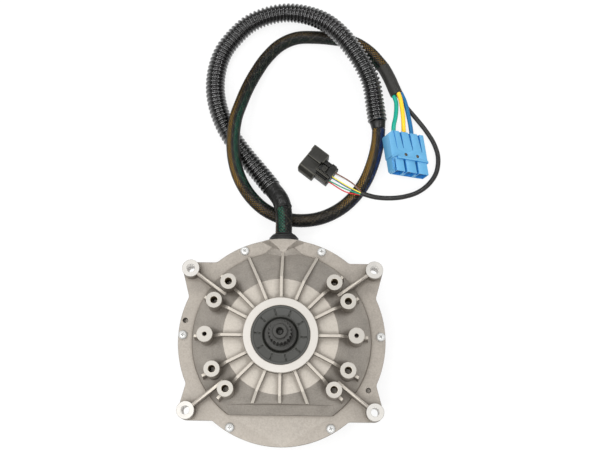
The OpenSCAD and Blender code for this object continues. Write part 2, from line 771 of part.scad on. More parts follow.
// Six pan-head screws with a star-like six-sided recess
module flange_screws() color([0.82, 0.83, 0.85]) {
    at_angles(screw_angles) translate([screw_pcd_r, 0, flange_z]) difference() {
        union() {
            translate([0, 0, -screw_l]) cylinder(r = screw_r, h = screw_l);
            cylinder(r = screw_head_r, h = screw_edge_h);
            translate([0, 0, screw_edge_h])
                cylinder(r1 = screw_head_r, r2 = screw_crown_r, h = screw_head_h - screw_edge_h);
        }
        translate([0, 0, screw_head_h - screw_recess_h])
            cylinder(r = screw_recess_r, h = screw_recess_h + cut, $fn = 6);
    }
}

// Oil seal: notched face, lip on the shaft collar, hollow back, and its garter spring
module oil_seal() color([0.24, 0.24, 0.23]) {
    top = seal_z + seal_w;
    difference() {
        translate([0, 0, seal_z]) rotate_extrude() polygon([
            [seal_r - seat_gap, 0], [seal_r - seat_gap, seal_w], [seal_face_r, seal_w],
            [seal_throat_r, seal_w - chamfer], [shaft_r + run_gap, seal_lip_z],
            [shaft_r + run_gap, seal_lip_z - min_w / 2], [seal_face_r, 0],
            [seal_face_r + min_w, 0], [seal_face_r + min_w, seal_w / 2],
            [seal_cavity_out_r, seal_w / 2], [seal_cavity_out_r, 0]
        ]);
        at_angles([for (i = [0 : seal_notch_count - 1]) seal_notch_turn + i * 360 / seal_notch_count])
            translate([seal_notch_in_r, -seal_notch_w / 2, top - seal_notch_d])
                cube([seal_notch_out_r - seal_notch_in_r, seal_notch_w, seal_notch_d + cut]);
    }
}
module seal_spring() color([0.6, 0.6, 0.6]) {
    ring_r0 = seal_face_r + min_w + seal_spring_wire_r + seat_gap;
    translate([0, 0, seal_z + seal_spring_wire_r + min_w]) rotate_extrude()
        translate([ring_r0, 0]) circle(r = seal_spring_wire_r, $fn = 24);
}

// Deep groove ball bearing: races, balls and cage
module outer_race(z, r, pitch, ball, w) {
    translate([0, 0, z]) rotate_extrude() difference() {
        translate([pitch + ball * race_share, 0]) square([r - seat_gap - pitch - ball * race_share, w]);
        translate([pitch, w / 2]) circle(r = ball + ball_gap);
    }
}
module inner_race(z, r, pitch, ball, w) {
    translate([0, 0, z]) rotate_extrude() difference() {
        translate([r + seat_gap, 0]) square([pitch - ball * race_share - r - seat_gap, w]);
        translate([pitch, w / 2]) circle(r = ball + ball_gap);
    }
}
module balls(z, pitch, ball, w) {
    at_angles([for (i = [0 : ball_count - 1]) i * 360 / ball_count])
        translate([pitch, 0, z + w / 2]) sphere(r = ball);
}
module cage(z, pitch, ball, w) {
    half = ball * cage_w_share;
    long = ball * 2 * cage_l_share;
    difference() {
        translate([0, 0, z + w / 2 - long / 2]) tube_ring(pitch + half, pitch - half, long);
        at_angles([for (i = [0 : ball_count - 1]) i * 360 / ball_count])
            translate([pitch, 0, z + w / 2]) sphere(r = ball + cage_gap);
    }
}
module front_bearing_outer_race() color([0.7, 0.7, 0.72])
    outer_race(front_brg_z, front_brg_r, front_pitch_r, front_ball_r, front_brg_w);
module front_bearing_inner_race() color([0.7, 0.7, 0.72])
    inner_race(front_brg_z, shaft_r, front_pitch_r, front_ball_r, front_brg_w);
module front_bearing_balls() color([0.8, 0.8, 0.82])
    balls(front_brg_z, front_pitch_r, front_ball_r, front_brg_w);
module front_bearing_cage() color([0.65, 0.6, 0.45])
    cage(front_brg_z, front_pitch_r, front_ball_r, front_brg_w);
module rear_bearing_outer_race() color([0.7, 0.7, 0.72])
    outer_race(rear_brg_z, rear_brg_r, rear_pitch_r, rear_ball_r, rear_brg_w);
module rear_bearing_inner_race() color([0.7, 0.7, 0.72])
    inner_race(rear_brg_z, tail_r, rear_pitch_r, rear_ball_r, rear_brg_w);
module rear_bearing_balls() color([0.8, 0.8, 0.82])
    balls(rear_brg_z, rear_pitch_r, rear_ball_r, rear_brg_w);
module rear_bearing_cage() color([0.65, 0.6, 0.45])
    cage(rear_brg_z, rear_pitch_r, rear_ball_r, rear_brg_w);
// Open ring that holds the front bearing in its pocket
module front_bearing_clip() color([0.3, 0.3, 0.32]) {
    translate([0, 0, front_brg_z - clip_t]) difference() {
        tube_ring(front_brg_r + clip_lip - seat_gap, front_brg_r - clip_out, clip_t);
        translate([0, 0, clip_t / 2]) rotate(90) translate([front_brg_r, 0, -clip_t])
            centred(clip_opening, clip_opening, 2 * clip_t);
    }
}
module bearing_washer() color([0.45, 0.45, 0.47])
    translate([0, 0, rear_floor_z]) tube_ring(rear_brg_r - seat_gap, rear_brg_r - washer_lip, washer_t);

// Stator stack with its teeth, insulators and coils
module slot_angles_do() {
    at_angles([for (i = [0 : slot_count - 1]) i * 360 / slot_count]) children();
}
module stator_core() color([0.5, 0.5, 0.52]) {
    translate([0, 0, stack_z]) linear_extrude(height = stack_l) intersection() {
        union() {
            difference() {
                circle(r = stator_r - seat_gap);
                circle(r = stator_r - yoke_t);
            }
            difference() {
                slot_angles_do() {
                    translate([stator_bore_r - min_w, -tooth_w / 2])
                        square([stator_r - yoke_t - stator_bore_r + 2 * min_w, tooth_w]);
                    translate([stator_bore_r - min_w, -shoe_w / 2]) square([shoe_t + min_w, shoe_w]);
                }
                circle(r = stator_bore_r);
            }
        }
        circle(r = stator_r - seat_gap);
    }
}
module tooth_sleeve(inner_w, inner_l, thick, end_thick, r0, r1) {
    translate([r0, 0, stack_z + stack_l / 2]) difference() {
        translate([0, -inner_w / 2 - thick, -inner_l / 2 - end_thick])
            cube([r1 - r0, inner_w + 2 * thick, inner_l + 2 * end_thick]);
        translate([-cut, -inner_w / 2, -inner_l / 2]) cube([r1 - r0 + 2 * cut, inner_w, inner_l]);
    }
}
module winding_insulators() color([0.9, 0.88, 0.8]) slot_angles_do()
    tooth_sleeve(tooth_w + 2 * seat_gap, stack_l + 2 * seat_gap, bobbin_t, bobbin_t, coil_in_r, coil_out_r);
module stator_windings() color([0.72, 0.38, 0.16]) slot_angles_do()
    tooth_sleeve(tooth_w + 2 * bobbin_t + 4 * seat_gap, stack_l + 2 * bobbin_t + 4 * seat_gap,
        coil_t, coil_end_t, coil_in_r, coil_out_r);
// Arc-shaped board with three position sensors, over the coil ends
module sensor_board() color([0.1, 0.35, 0.2]) {
    board_z = stack_top_z + bobbin_t + coil_end_t + 3 * seat_gap;
    translate([0, 0, board_z]) rotate(board_angle) {
        rotate_extrude(angle = board_arc) translate([board_in_r, 0])
            square([board_out_r - board_in_r, board_t]);
        at_angles([board_arc / 4, board_arc / 2, board_arc * 3 / 4])
            translate([board_in_r + board_chip_w, 0, board_t / 2])
                centred(board_chip_w, board_chip_w, board_chip_h + board_t / 2);
    }
}

// Rotating parts
module spline_plan() {
    pitch = 360 / spline_count;
    foot = pitch * tooth_foot_share / 2;
    tip = pitch * tooth_tip_share / 2;
    low = spline_r - spline_depth;
    polygon([for (i = [0 : spline_count - 1]) let (a = i * pitch) each [
        low * [cos(a - foot), sin(a - foot)], spline_r * [cos(a - tip), sin(a - tip)],
        spline_r * [cos(a + tip), sin(a + tip)], low * [cos(a + foot), sin(a + foot)]]]);
}
module output_shaft() color([0.3, 0.3, 0.29]) {
    difference() {
        union() {
            rotate_extrude() polygon([
                [0, rear_brg_z], [tail_r - chamfer, rear_brg_z], [tail_r, rear_brg_z + chamfer],
                [tail_r, rear_brg_top], [abut_r, rear_brg_top], [abut_r, rear_brg_top + abut_t],
                [seat_r, rear_brg_top + abut_t], [seat_r, rotor_top_z],
                [mid_r, rotor_top_z], [mid_r, front_brg_z], [shaft_r, front_brg_z],
                [shaft_r, collar_top_z - chamfer], [shaft_r - chamfer, collar_top_z],
                [0, collar_top_z]
            ]);
            intersection() {
                translate([0, 0, collar_top_z - min_w]) linear_extrude(height = spline_l + min_w)
                    spline_plan();
                cylinder(r1 = spline_top_z, r2 = spline_r - chamfer, h = spline_top_z);
            }
            translate([0, 0, collar_top_z - min_w])
                cylinder(r = spline_r - spline_depth, h = spline_l + min_w);
            translate([0, 0, spline_top_z - min_w]) cylinder(r = nose_r, h = nose_l + min_w - chamfer);
            translate([0, 0, tip_z - chamfer]) cylinder(r1 = nose_r, r2 = nose_r - chamfer, h = chamfer);
        }
        translate([0, 0, rotor_clip_z]) tube_ring(seat_r + cut, seat_r - clip_lip, clip_t);
        translate([0, 0, tip_z - centre_hole_l]) cylinder(r = centre_hole_r, h = centre_hole_l + cut);
        translate([0, 0, tip_z - centre_cone_l])
            cylinder(r1 = centre_hole_r, r2 = centre_cone_r, h = centre_cone_l + seat_gap);
        translate([seat_r - key_sink, -key_w / 2, rotor_z + (rotor_hub_l - key_l) / 2])
            cube([key_h, key_w, key_l]);
    }
}
module rotor_key() color([0.6, 0.6, 0.62])
    translate([seat_r - key_sink + seat_gap, -key_w / 2 + seat_gap,
        rotor_z + (rotor_hub_l - key_l) / 2 + seat_gap])
        cube([key_h - 2 * seat_gap, key_w - 2 * seat_gap, key_l - 2 * seat_gap]);
module rotor_clip() color([0.3, 0.3, 0.32])
    translate([0, 0, rotor_clip_z + seat_gap]) difference() {
        tube_ring(seat_r + clip_out, seat_r - clip_lip + seat_gap, clip_t - 2 * seat_gap);
        translate([seat_r, 0, -clip_t / 2]) centred(clip_opening, clip_opening, 2 * clip_t);
    }
module rotor_hub() color([0.55, 0.55, 0.58]) {
    difference() {
        union() {
            translate([0, 0, rotor_z]) cylinder(r = rotor_hub_r, h = rotor_hub_l);
            translate([0, 0, web_z]) cylinder(r = rim_r - min_w, h = web_t);
            translate([0, 0, stack_z - rim_over]) tube_ring(rim_r, rim_r - rim_w, stack_l + 2 * rim_over);
        }
        translate([0, 0, rotor_z - cut]) cylinder(r = seat_r + seat_gap, h = rotor_hub_l + 2 * cut);
        translate([seat_r - key_sink, -key_w / 2, rotor_z - cut])
            cube([key_h, key_w, rotor_hub_l + 2 * cut]);
        at_angles([for (i = [0 : web_hole_count - 1]) (i + 0.5) * 360 / web_hole_count])
            translate([(rotor_hub_r + rim_r - rim_w) / 2, 0, web_z - cut])
                cylinder(r = web_hole_r, h = web_t + 2 * cut);
    }
}
module rotor_magnets() color([0.42, 0.42, 0.45]) {
    arc = 360 / magnet_count * magnet_share;
    at_angles([for (i = [0 : magnet_count - 1]) i * 360 / magnet_count])
        translate([0, 0, stack_z - rim_over]) rotate_extrude(angle = arc)
            translate([rim_r + seat_gap, 0]) square([magnet_t - seat_gap, stack_l + 2 * rim_over]);
}

// Rubber grommet in the cable outlet
module cable_grommet() color([0.1, 0.1, 0.1]) {
    outlet_shape(outlet_slot_r - seat_gap, grommet_neck_y, grommet_lip_y, rear_h - seat_gap);
    translate([0, 0, outlet_z]) rotate([-90, 0, 0]) rotate_extrude() polygon([
        [0, grommet_lip_y - seat_gap], [grommet_r, grommet_lip_y], [grommet_r, grommet_side_y],
        [grommet_mid_r, grommet_mid_y], [grommet_end_r, grommet_end_y], [0, grommet_end_y]
    ]);
}

// Harness tubes
module exit_sleeve() color([0.1, 0.1, 0.1])
    tube(exit_route, exit_r, tube_sides, exit_dir, wrap_dir);
module loom_start_wrap() color([0.12, 0.12, 0.12])
    tube(start_wrap_route, loom_valley_r, tube_sides, wrap_dir, loom_dir);
module corrugated_loom() color([0.13, 0.13, 0.12])
    ribbed_tube(loom_route, loom_r, loom_valley_r, loom_bore_r, loom_ribs, loom_sides, bore_step,
        loom_dir, tape_dir);
module loom_end_tape() color([0.1, 0.1, 0.1])
    tube([loom_route[len(loom_route) - 1], tape_end], loom_valley_r, tube_sides, tape_dir, tape_dir);
module braided_sleeve() color([0.11, 0.11, 0.11])
    tube(sleeve_route, sleeve_r, tube_sides, tape_dir, end_wrap_dir);
module sleeve_end_wrap() color([0.14, 0.14, 0.14])
    tube(end_wrap_route, wrap_r, tube_sides, end_wrap_dir, lead_dir);
module green_lead() color([0.06, 0.62, 0.53]) tube(green_route, lead_r, thin_sides, lead_dir, plug_dir);
module yellow_lead() color([0.98, 0.8, 0.16]) tube(yellow_route, lead_r, thin_sides, lead_dir, plug_dir);
module blue_lead() color([0.06, 0.4, 0.68]) tube(blue_route, lead_r, thin_sides, lead_dir, plug_dir);
module sensor_cable() color([0.13, 0.13, 0.13])
    tube(sensor_route, sensor_r, thin_sides, lead_dir, sensor_dir);
module wire_red() color([0.85, 0.2, 0.2]) tube(red_route, wire_r, thin_sides, sensor_dir, pin_dir);
module wire_green() color([0.1, 0.6, 0.45])
    tube(green_wire_route, wire_r, thin_sides, sensor_dir, pin_dir);
module wire_yellow() color([0.9, 0.85, 0.3])
    tube(yellow_wire_route, wire_r, thin_sides, sensor_dir, pin_dir);
module wire_blue() color([0.1, 0.35, 0.6])
    tube(blue_wire_route, wire_r, thin_sides, sensor_dir, pin_dir);
module wire_white() color([0.8, 0.8, 0.8])
    tube(white_wire_route, wire_r, thin_sides, sensor_dir, pin_dir);
module wire_brown() color([0.4, 0.25, 0.2])
    tube(brown_wire_route, wire_r, thin_sides, sensor_dir, pin_dir);

// Power connector: it leans on the braided sleeve, its outline slightly skewed
module plug_place() {
    translate([plug_x, plug_y, plug_z]) rotate(plug_turn) rotate([plug_pitch, 0, 0])
        rotate([0, plug_roll, 0]) children();
}
// Moves a feature to its place along the skewed width
module plug_at(x, y) {
    translate([x, y - plug_skew * x, 0]) children();
}
module plug_plan(w, y0, y1) {
    k = plug_skew * w / 2;
    polygon([[-w / 2, y0 + k], [w / 2, y0 - k], [w / 2, y1 - k], [-w / 2, y1 + k]]);
}
module power_connector() color([0.39, 0.71, 0.92]) plug_place() {
    hl = plug_l / 2;
    hh = plug_h / 2;
    difference() {
        union() {
            translate([0, 0, -hh]) linear_extrude(height = plug_h)
                plug_plan(plug_w, plug_split_y, hl);
            translate([0, 0, -hh + plug_step]) linear_extrude(height = plug_h - 2 * plug_step)
                plug_plan(plug_w - 2 * plug_step, -hl, plug_split_y + min_w);
        }
        for (x = pole_x) plug_at(x, 0)
            translate([-socket_w / 2, -hl - 3 * cut, socket_z])
                cube([socket_w, socket_l + 3 * cut, socket_h]);
        for (x = entry_x) plug_at(x, 0) translate([0, hl + cut, 0]) rotate([90, 0, 0])
            cylinder(r = entry_r, h = entry_l + cut);
        for (x = groove_x) plug_at(x, 0)
            translate([-groove_w / 2, groove_end_y, hh - groove_d]) cube([groove_w, hl, groove_d + cut]);
        for (x = gap_x) plug_at(x, 0)
            translate([-gap_w / 2, -hl - 3 * cut, hh - gap_d])
                cube([gap_w, hl + plug_split_y + 2 * cut, gap_d + cut]);
        for (x = plug_pin_x) plug_at(x, plug_pin_y)
            translate([0, 0, -hh - cut]) cylinder(r = plug_pin_r, h = plug_h + 2 * cut);
    }
}
module power_contacts() color([0.85, 0.85, 0.86]) plug_place()
    for (x = pole_x) plug_at(x, 0) translate([-contact_w / 2, -plug_l / 2 + socket_l - contact_l,
        socket_z + seat_gap]) cube([contact_w, contact_l - seat_gap, contact_t]);
module power_connector_pins() color([0.55, 0.5, 0.42]) plug_place()
    for (x = plug_pin_x) plug_at(x, plug_pin_y) translate([0, 0, -plug_h / 2 + min_w])
        tube_ring(plug_pin_r - seat_gap, plug_pin_r / 2, plug_h - 2 * min_w);

// Sensor connector: +X of its own frame points from its mouth to its wires
module sense_place() {
    translate([sense_x, sense_y, 0]) rotate(sense_turn) children();
}
module soft_box(l, w, h, e) {
    translate([0, -w / 2, 0]) rotate([90, 0, 90]) linear_extrude(height = l)
        polygon([[0, e], [e, 0], [w - e, 0], [w, e], [w, h - e], [w - e, h], [e, h], [0, h - e]]);
}
module sensor_connector() color([0.2, 0.2, 0.19]) sense_place() {
    mouth = -sense_body_l - sense_l;
    inner_w = sense_w - 2 * sense_wall;
    inner_h = sense_h - 2 * sense_wall;
    difference() {
        union() {
            translate([mouth, 0, 0]) soft_box(sense_l, sense_w, sense_h, sense_edge);
            translate([-sense_body_l - min_w, 0, sense_body_z])
                soft_box(sense_body_l + min_w, sense_body_w, sense_body_h, sense_edge);
            for (s = [-1, 1]) translate([-rail_l - min_w, s * (lock_w / 2 + rail_w) - rail_w / 2,
                sense_body_z + sense_body_h - min_w]) cube([rail_l, rail_w, rail_h + min_w]);
        }
        difference() {
            translate([mouth - cut, 0, sense_wall])
                soft_box(sense_mouth_l + cut, inner_w, inner_h, sense_edge);
            translate([mouth - 2 * cut, 0, sense_wall + sense_gap_w])
                soft_box(sense_mouth_l + 4 * cut, inner_w - 2 * sense_gap_w,
                    inner_h - 2 * sense_gap_w, sense_edge);
        }
        for (i = [0 : terminal_cols - 1]) for (j = [0 : terminal_rows - 1])
            translate([mouth - cut, (i - 1) * terminal_pitch, sense_h / 2 + (j - 1 / 2) * terminal_pitch])
                rotate([0, 90, 0]) cylinder(r = terminal_r, h = terminal_l + cut);
        translate([-lock_l - lock_bar_l, -lock_w / 2 - seat_gap, sense_body_z + sense_body_h])
            cube([lock_l, lock_w + 2 * seat_gap, rail_h + 2 * cut]);
        translate([-seal_block_t, -sense_body_w / 2 + seal_block_inset, sense_body_z + seal_block_inset])
            cube([seal_block_t + cut, sense_body_w - 2 * seal_block_inset,
                sense_body_h - 2 * seal_block_inset]);
    }
}
// Lock lever of the sensor connector, bridged by a release bar
module sensor_lock() color([0.16, 0.16, 0.16]) sense_place()
    translate([-lock_l - lock_bar_l, 0, sense_body_z + sense_body_h + seat_gap]) difference() {
        translate([0, -lock_w / 2 + seat_gap, 0]) cube([lock_l - seat_gap, lock_w - 2 * seat_gap, lock_h]);
        translate([lock_bar_l, -lock_w / 4, -cut])
            cube([lock_l - 3 * lock_bar_l, lock_w / 2, lock_h + 2 * cut]);
    }
module sensor_wire_seal() color([0.25, 0.22, 0.2]) sense_place()
    translate([-seal_block_t + seat_gap, -sense_body_w / 2 + seal_block_inset + seat_gap,
        sense_body_z + seal_block_inset + seat_gap])
        cube([seal_block_t - 2 * seat_gap, sense_body_w - 2 * seal_block_inset - 2 * seat_gap,
            sense_body_h - 2 * seal_block_inset - 2 * seat_gap]);

front_cover();
rear_cover();
joint_ring();
flange_screws();
oil_seal();
seal_spring();
front_bearing_outer_race();
front_bearing_clip();
front_bearing_balls();
front_bearing_cage();
front_bearing_inner_race();
rear_bearing_outer_race();
bearing_washer();
rear_bearing_balls();
rear_bearing_cage();
rear_bearing_inner_race();
stator_core();
stator_windings();
winding_insulators();
sensor_board();
output_shaft();
rotor_hub();
rotor_key();
rotor_clip();
rotor_magnets();
cable_grommet();
exit_sleeve();
loom_start_wrap();
corrugated_loom();
loom_end_tape();
braided_sleeve();
sleeve_end_wrap();
green_lead();
yellow_lead();
blue_lead();
power_connector();
power_contacts();
power_connector_pins();
sensor_cable();
wire_red();
wire_green();
wire_yellow();
wire_blue();
wire_white();
wire_brown();
sensor_connector();
sensor_lock();
sensor_wire_seal();
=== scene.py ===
# %% [markdown]
# A flat flange motor with a splined shaft and its wiring harness. The imported CAD
# model comes in first: every node lies where the real piece lies, in metres, with
# the table at height 0 and the shaft pointing up.

# %% Load the imported model
import bpy
import math
from mathutils import Matrix, Quaternion, Vector
from mathutils.bvhtree import BVHTree


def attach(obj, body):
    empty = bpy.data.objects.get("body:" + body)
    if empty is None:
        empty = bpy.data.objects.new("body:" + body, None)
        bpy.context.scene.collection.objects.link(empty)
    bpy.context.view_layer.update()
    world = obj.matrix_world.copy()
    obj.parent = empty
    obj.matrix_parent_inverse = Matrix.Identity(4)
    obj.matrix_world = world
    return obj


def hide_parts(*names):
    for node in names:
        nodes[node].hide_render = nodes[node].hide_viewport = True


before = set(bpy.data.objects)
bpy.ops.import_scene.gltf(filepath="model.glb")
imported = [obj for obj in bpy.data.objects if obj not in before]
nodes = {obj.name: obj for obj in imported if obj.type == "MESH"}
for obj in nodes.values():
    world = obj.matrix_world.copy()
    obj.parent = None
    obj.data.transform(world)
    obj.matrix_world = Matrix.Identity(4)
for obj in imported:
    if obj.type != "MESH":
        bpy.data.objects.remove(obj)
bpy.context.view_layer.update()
MM = 0.001


def linked(name, data):
    """A new object of the scene for a mesh, a curve, a lamp or a camera."""
    made = bpy.data.objects.new(name, data)
    bpy.context.scene.collection.objects.link(made)
    return made


def deselect():
    bpy.ops.object.select_all(action="DESELECT")


def at(x, y, z=0.0):
    return Matrix.Translation((x * MM, y * MM, z * MM))


def spun(degrees, axis):
    return Matrix.Rotation(math.radians(degrees), 4, axis)


# %% [markdown]
# The photograph looks almost straight down on the motor, from a little below it,
# with a normal lens. The camera's place and turn were fitted to the round flange,
# the ten bosses, the ears and the screws, so the view follows them to a pixel.

# %% Camera
WIDTH, FOCUS = 600, 984.0  # of the photograph, in pixels
CAMERA_PLACE = (0.0252, -0.1171, 0.9918)
FLOOR_RADIUS = 19
camera = linked("camera", bpy.data.cameras.new("camera"))
camera.data.sensor_width = 36
camera.data.lens = FOCUS / WIDTH * camera.data.sensor_width
camera.data.clip_end = FLOOR_RADIUS + 1
tilt = spun(13.77, "X") @ spun(0.53, "Y") @ spun(0.63, "Z")
camera.matrix_world = Matrix.Translation(CAMERA_PLACE) @ tilt
bpy.context.scene.camera = camera
bpy.context.scene.view_settings.view_transform = "Standard"
print("lens", round(camera.data.lens, 2), "mm")

# %% [markdown]
# Shader maths reads best as sums. A small class wraps a node's output socket, so
# that an expression such as 0.5 + 0.2 * noise adds its Math nodes by itself. Any
# other node comes from one method, which takes its settings and its inputs, and the
# kinds that come up often have a method of their own.

# %% A socket that can be added and multiplied
class Signal:
    def __init__(self, finish, socket):
        self.finish, self.socket = finish, socket

    def __add__(self, other): return self.finish.maths("ADD", self, other)
    def __radd__(self, other): return self.finish.maths("ADD", other, self)
    def __sub__(self, other): return self.finish.maths("SUBTRACT", self, other)
    def __mul__(self, other): return self.finish.maths("MULTIPLY", self, other)
    def __rmul__(self, other): return self.finish.maths("MULTIPLY", other, self)


class Finish:
    def __init__(self, name):
        self.material = bpy.data.materials.new(name)
        self.material.use_nodes = True
        self.tree = self.material.node_tree
        self.shader = self.tree.nodes["Principled BSDF"]

    def node(self, kind, settings=None, inputs=None, out=0):
        made = self.tree.nodes.new(kind)
        for name, value in (settings or {}).items():
            setattr(made, name, value)
        for name, value in (inputs or {}).items():
            self.feed(made.inputs[name], value)
        return Signal(self, made.outputs[out])

    def feed(self, socket, value):
        if isinstance(value, Signal):
            self.tree.links.new(value.socket, socket)
        else:
            socket.default_value = value

    def set(self, **values):
        for name, value in values.items():
            self.feed(self.shader.inputs[name.replace("_", " ")], value)
        return self

    def maths(self, kind, *values):
        return self.node("ShaderNodeMath", {"operation": kind}, dict(enumerate(values)))

    def skin(self):
        """The colour that the finish has so far."""
        return Signal(self, self.shader.inputs["Base Color"].links[0].from_socket)

    def noise(self, scale, detail=3.0):
        return self.node("ShaderNodeTexNoise", {}, {
            "Vector": self.node("ShaderNodeTexCoord", out="Object"), "Scale": scale,
            "Detail": detail, "Roughness": 0.55})

    def attribute(self, name):
        return self.node("ShaderNodeAttribute", {"attribute_name": name}, out=2)

    def span(self, value, start, end, low=0.0, high=1.0, soft=False):
        """A value's way from start to end, turned into a way from low to high."""
        kind = "SMOOTHSTEP" if soft else "LINEAR"
        return self.node("ShaderNodeMapRange", {"interpolation_type": kind}, {
            "Value": value, "From Min": start, "From Max": end, "To Min": low,
            "To Max": high})

    def ramp(self, share, stops, kind="LINEAR"):
        """A colour ramp through its (place, colour) stops."""
        made = self.node("ShaderNodeValToRGB", {}, {"Fac": share})
        band = made.socket.node.color_ramp
        band.interpolation = kind
        while len(band.elements) < len(stops):
            band.elements.new(0.5)
        for stop, (place, tone) in zip(band.elements, stops):
            stop.position, stop.color = place, tone
        return made

    def blend(self, share, a, b):
        return self.node("ShaderNodeMix", {"data_type": "RGBA"},
                         {"Factor": share, 6: a, 7: b}, out=2)

    def bump(self, height, depth):
        return self.node("ShaderNodeBump", {}, {"Height": height, "Distance": depth})


def colour(r, g, b):
    """A colour as it looks on a screen, 0 to 255, as the numbers a shader takes."""
    def lin(c):
        c = c / 255
        return c / 12.92 if c <= 0.04045 else ((c + 0.055) / 1.055) ** 2.4
    return (lin(r), lin(g), lin(b), 1)


def dress(piece, *finishes):
    """Puts finishes on a piece in place of those that it came with."""
    piece.data.materials.clear()
    for f in finishes:
        piece.data.materials.append(f.material)
    return piece


print("shader helpers ready")

# %% [markdown]
# Every route of the harness is a list of points in millimetres, the same that the
# CAD model uses. A smooth curve through them is cut into even steps, and a tube is
# a ring of points carried along it. A mesh tube is used where the surface has a
# form of its own, such as ribs or laps of tape; a plain jacket is a curve.

# %% Smooth lines and tubes
FINE = 24  # steps of a curve from one point of its route to the next
LANE = 10  # mm along a tube for one unit of its UV map


def length(line):
    return sum((b - a).length for a, b in zip(line, line[1:]))


def smooth(route, step):
    """Points about step mm apart on the curve through a route."""
    p = [Vector(q) * MM for q in route]
    p = [2 * p[0] - p[1]] + p + [2 * p[-1] - p[-2]]
    fine = []
    for i in range(1, len(p) - 2):
        a, b, c, d = p[i - 1:i + 3]
        for k in range(FINE):
            t = k / FINE
            fine.append((2 * b + (c - a) * t + (2 * a - 5 * b + 4 * c - d) * t * t
                         + (3 * b - a - 3 * c + d) * t ** 3) / 2)
    fine.append(p[-2])
    ran = [0.0]
    for a, b in zip(fine, fine[1:]):
        ran.append(ran[-1] + (b - a).length)
    count = max(2, round(ran[-1] / (step * MM)))
    line, at = [], 0
    for k in range(count + 1):
        s = ran[-1] * k / count
        while at < len(ran) - 2 and ran[at + 1] < s:
            at += 1
        t = (s - ran[at]) / max(ran[at + 1] - ran[at], 1e-9)
        line.append(fine[at].lerp(fine[at + 1], t))
    return line


def ways(line):
    """The direction of a line at each of its points, with its left and its top."""
    out = []
    for i in range(len(line)):
        t = (line[min(i + 1, len(line) - 1)] - line[max(i - 1, 0)]).normalized()
        s = Vector((0, 0, 1)).cross(t).normalized()
        out.append((t, s, t.cross(s)))
    return out


def mesh_piece(name, points, faces, smoothed=True):
    mesh = bpy.data.meshes.new(name)
    mesh.from_pydata([tuple(p) for p in points], [], faces)
    if smoothed:
        mesh.polygons.foreach_set("use_smooth", [True] * len(mesh.polygons))
    return linked(name, mesh)


def face_mark(piece, name, values):
    """Writes a number for each face of a piece, for its finish to read."""
    mark = piece.data.attributes.new(name, "FLOAT", "FACE")
    mark.data.foreach_set("value", values)
    return piece


def outward(s, u, a):
    """The direction away from a line with this left and top, at a turn round it."""
    return math.cos(a) * s + math.sin(a) * u


def along(line):
    """Each point of a line, the way run to it in mm, and its three directions."""
    ran = 0.0
    for p, last, (t, s, u) in zip(line, line[:1] + line, ways(line)):
        ran += (p - last).length / MM
        yield p, ran, t, s, u


def closed_faces(rings, sides):
    """Four-sided faces from each ring of points to the next, and a cap at each end."""
    faces = []
    for i in range(rings - 1):
        for j in range(sides):
            k = (j + 1) % sides
            faces.append((i * sides + j, i * sides + k,
                          (i + 1) * sides + k, (i + 1) * sides + j))
    last = (rings - 1) * sides
    return faces + [tuple(range(sides))[::-1], tuple(range(last, last + sides))]


def tube(name, line, radius, sides):
    """A closed tube. radius is called with the way along in mm, and the turn."""
    points, ran_at = [], []
    for p, ran, t, s, u in along(line):
        ran_at.append(ran)
        for j in range(sides):
            a = 2 * math.pi * j / sides
            points.append(p + radius(ran, a) * MM * outward(s, u, a))
    piece = mesh_piece(name, points, closed_faces(len(line), sides))
    layer = piece.data.uv_layers.new(name="lanes").data
    for face in piece.data.polygons:
        wraps = {0, sides - 1} <= {v % sides for v in face.vertices}
        for loop in face.loop_indices:
            v = piece.data.loops[loop].vertex_index
            turn = sides if wraps and v % sides == 0 else v % sides
            layer[loop].uv = (turn / sides, ran_at[v // sides] / LANE)
    return piece


print("line helpers ready")

# %% [markdown]
# The corrugated loom is a black conduit with a hundred ribs. Each rib has a flat
# crest with steep sides, so one pitch gets ten rings of points. Its line follows
# the photographed arch: it rises off the table where it crosses the sleeve below.

# %% The corrugated loom
LOOM = [(-13, 160, 15.6), (-26, 177, 12.4), (-40, 194, 10.8), (-53, 211, 10.6),
        (-64, 229, 10.6), (-72, 249, 10.6), (-76, 270, 10.6), (-75, 292, 10.6),
        (-69, 313, 10.6), (-57, 331, 10.6), (-42, 346, 10.8), (-23, 355, 12),
        (-2, 358, 14.6), (19, 354, 18.4), (38, 345, 22.4), (54, 331, 25.4),
        (68, 314, 25.2), (80, 296, 22.2), (89, 277, 17.4), (93, 256, 13.2),
        (96, 235, 12.6)]
CREST, VALLEY, RIBS = 10.3, 8.3, 100
RIB_SHAPE = [(0.0, 0.0), (0.1, 0.08), (0.18, 0.36), (0.26, 0.72), (0.37, 0.94),
             (0.5, 1.0), (0.63, 0.94), (0.74, 0.72), (0.82, 0.36), (0.9, 0.08)]


def ribbed(name, line, sides=28):
    """A tube with the ten rings of a rib at every step of its line."""
    frames, points = ways(line), []
    for i in range(len(line) - 1):
        for share, high in RIB_SHAPE:
            p = line[i].lerp(line[i + 1], share)
            s = frames[i][1].lerp(frames[i + 1][1], share).normalized()
            u = frames[i][2].lerp(frames[i + 1][2], share).normalized()
            r = (VALLEY + (CREST - VALLEY) * high) * MM
            points += [p + r * outward(s, u, 2 * math.pi * j / sides)
                       for j in range(sides)]
    return mesh_piece(name, points, closed_faces(len(points) // sides, sides))


loom_long = length(smooth(LOOM, 0.1))
loom_line = smooth(LOOM, loom_long / MM / RIBS)
loom = ribbed("loom_tube", loom_line)
print("loom", round(loom_long, 3), "m,", len(loom.data.polygons), "faces")

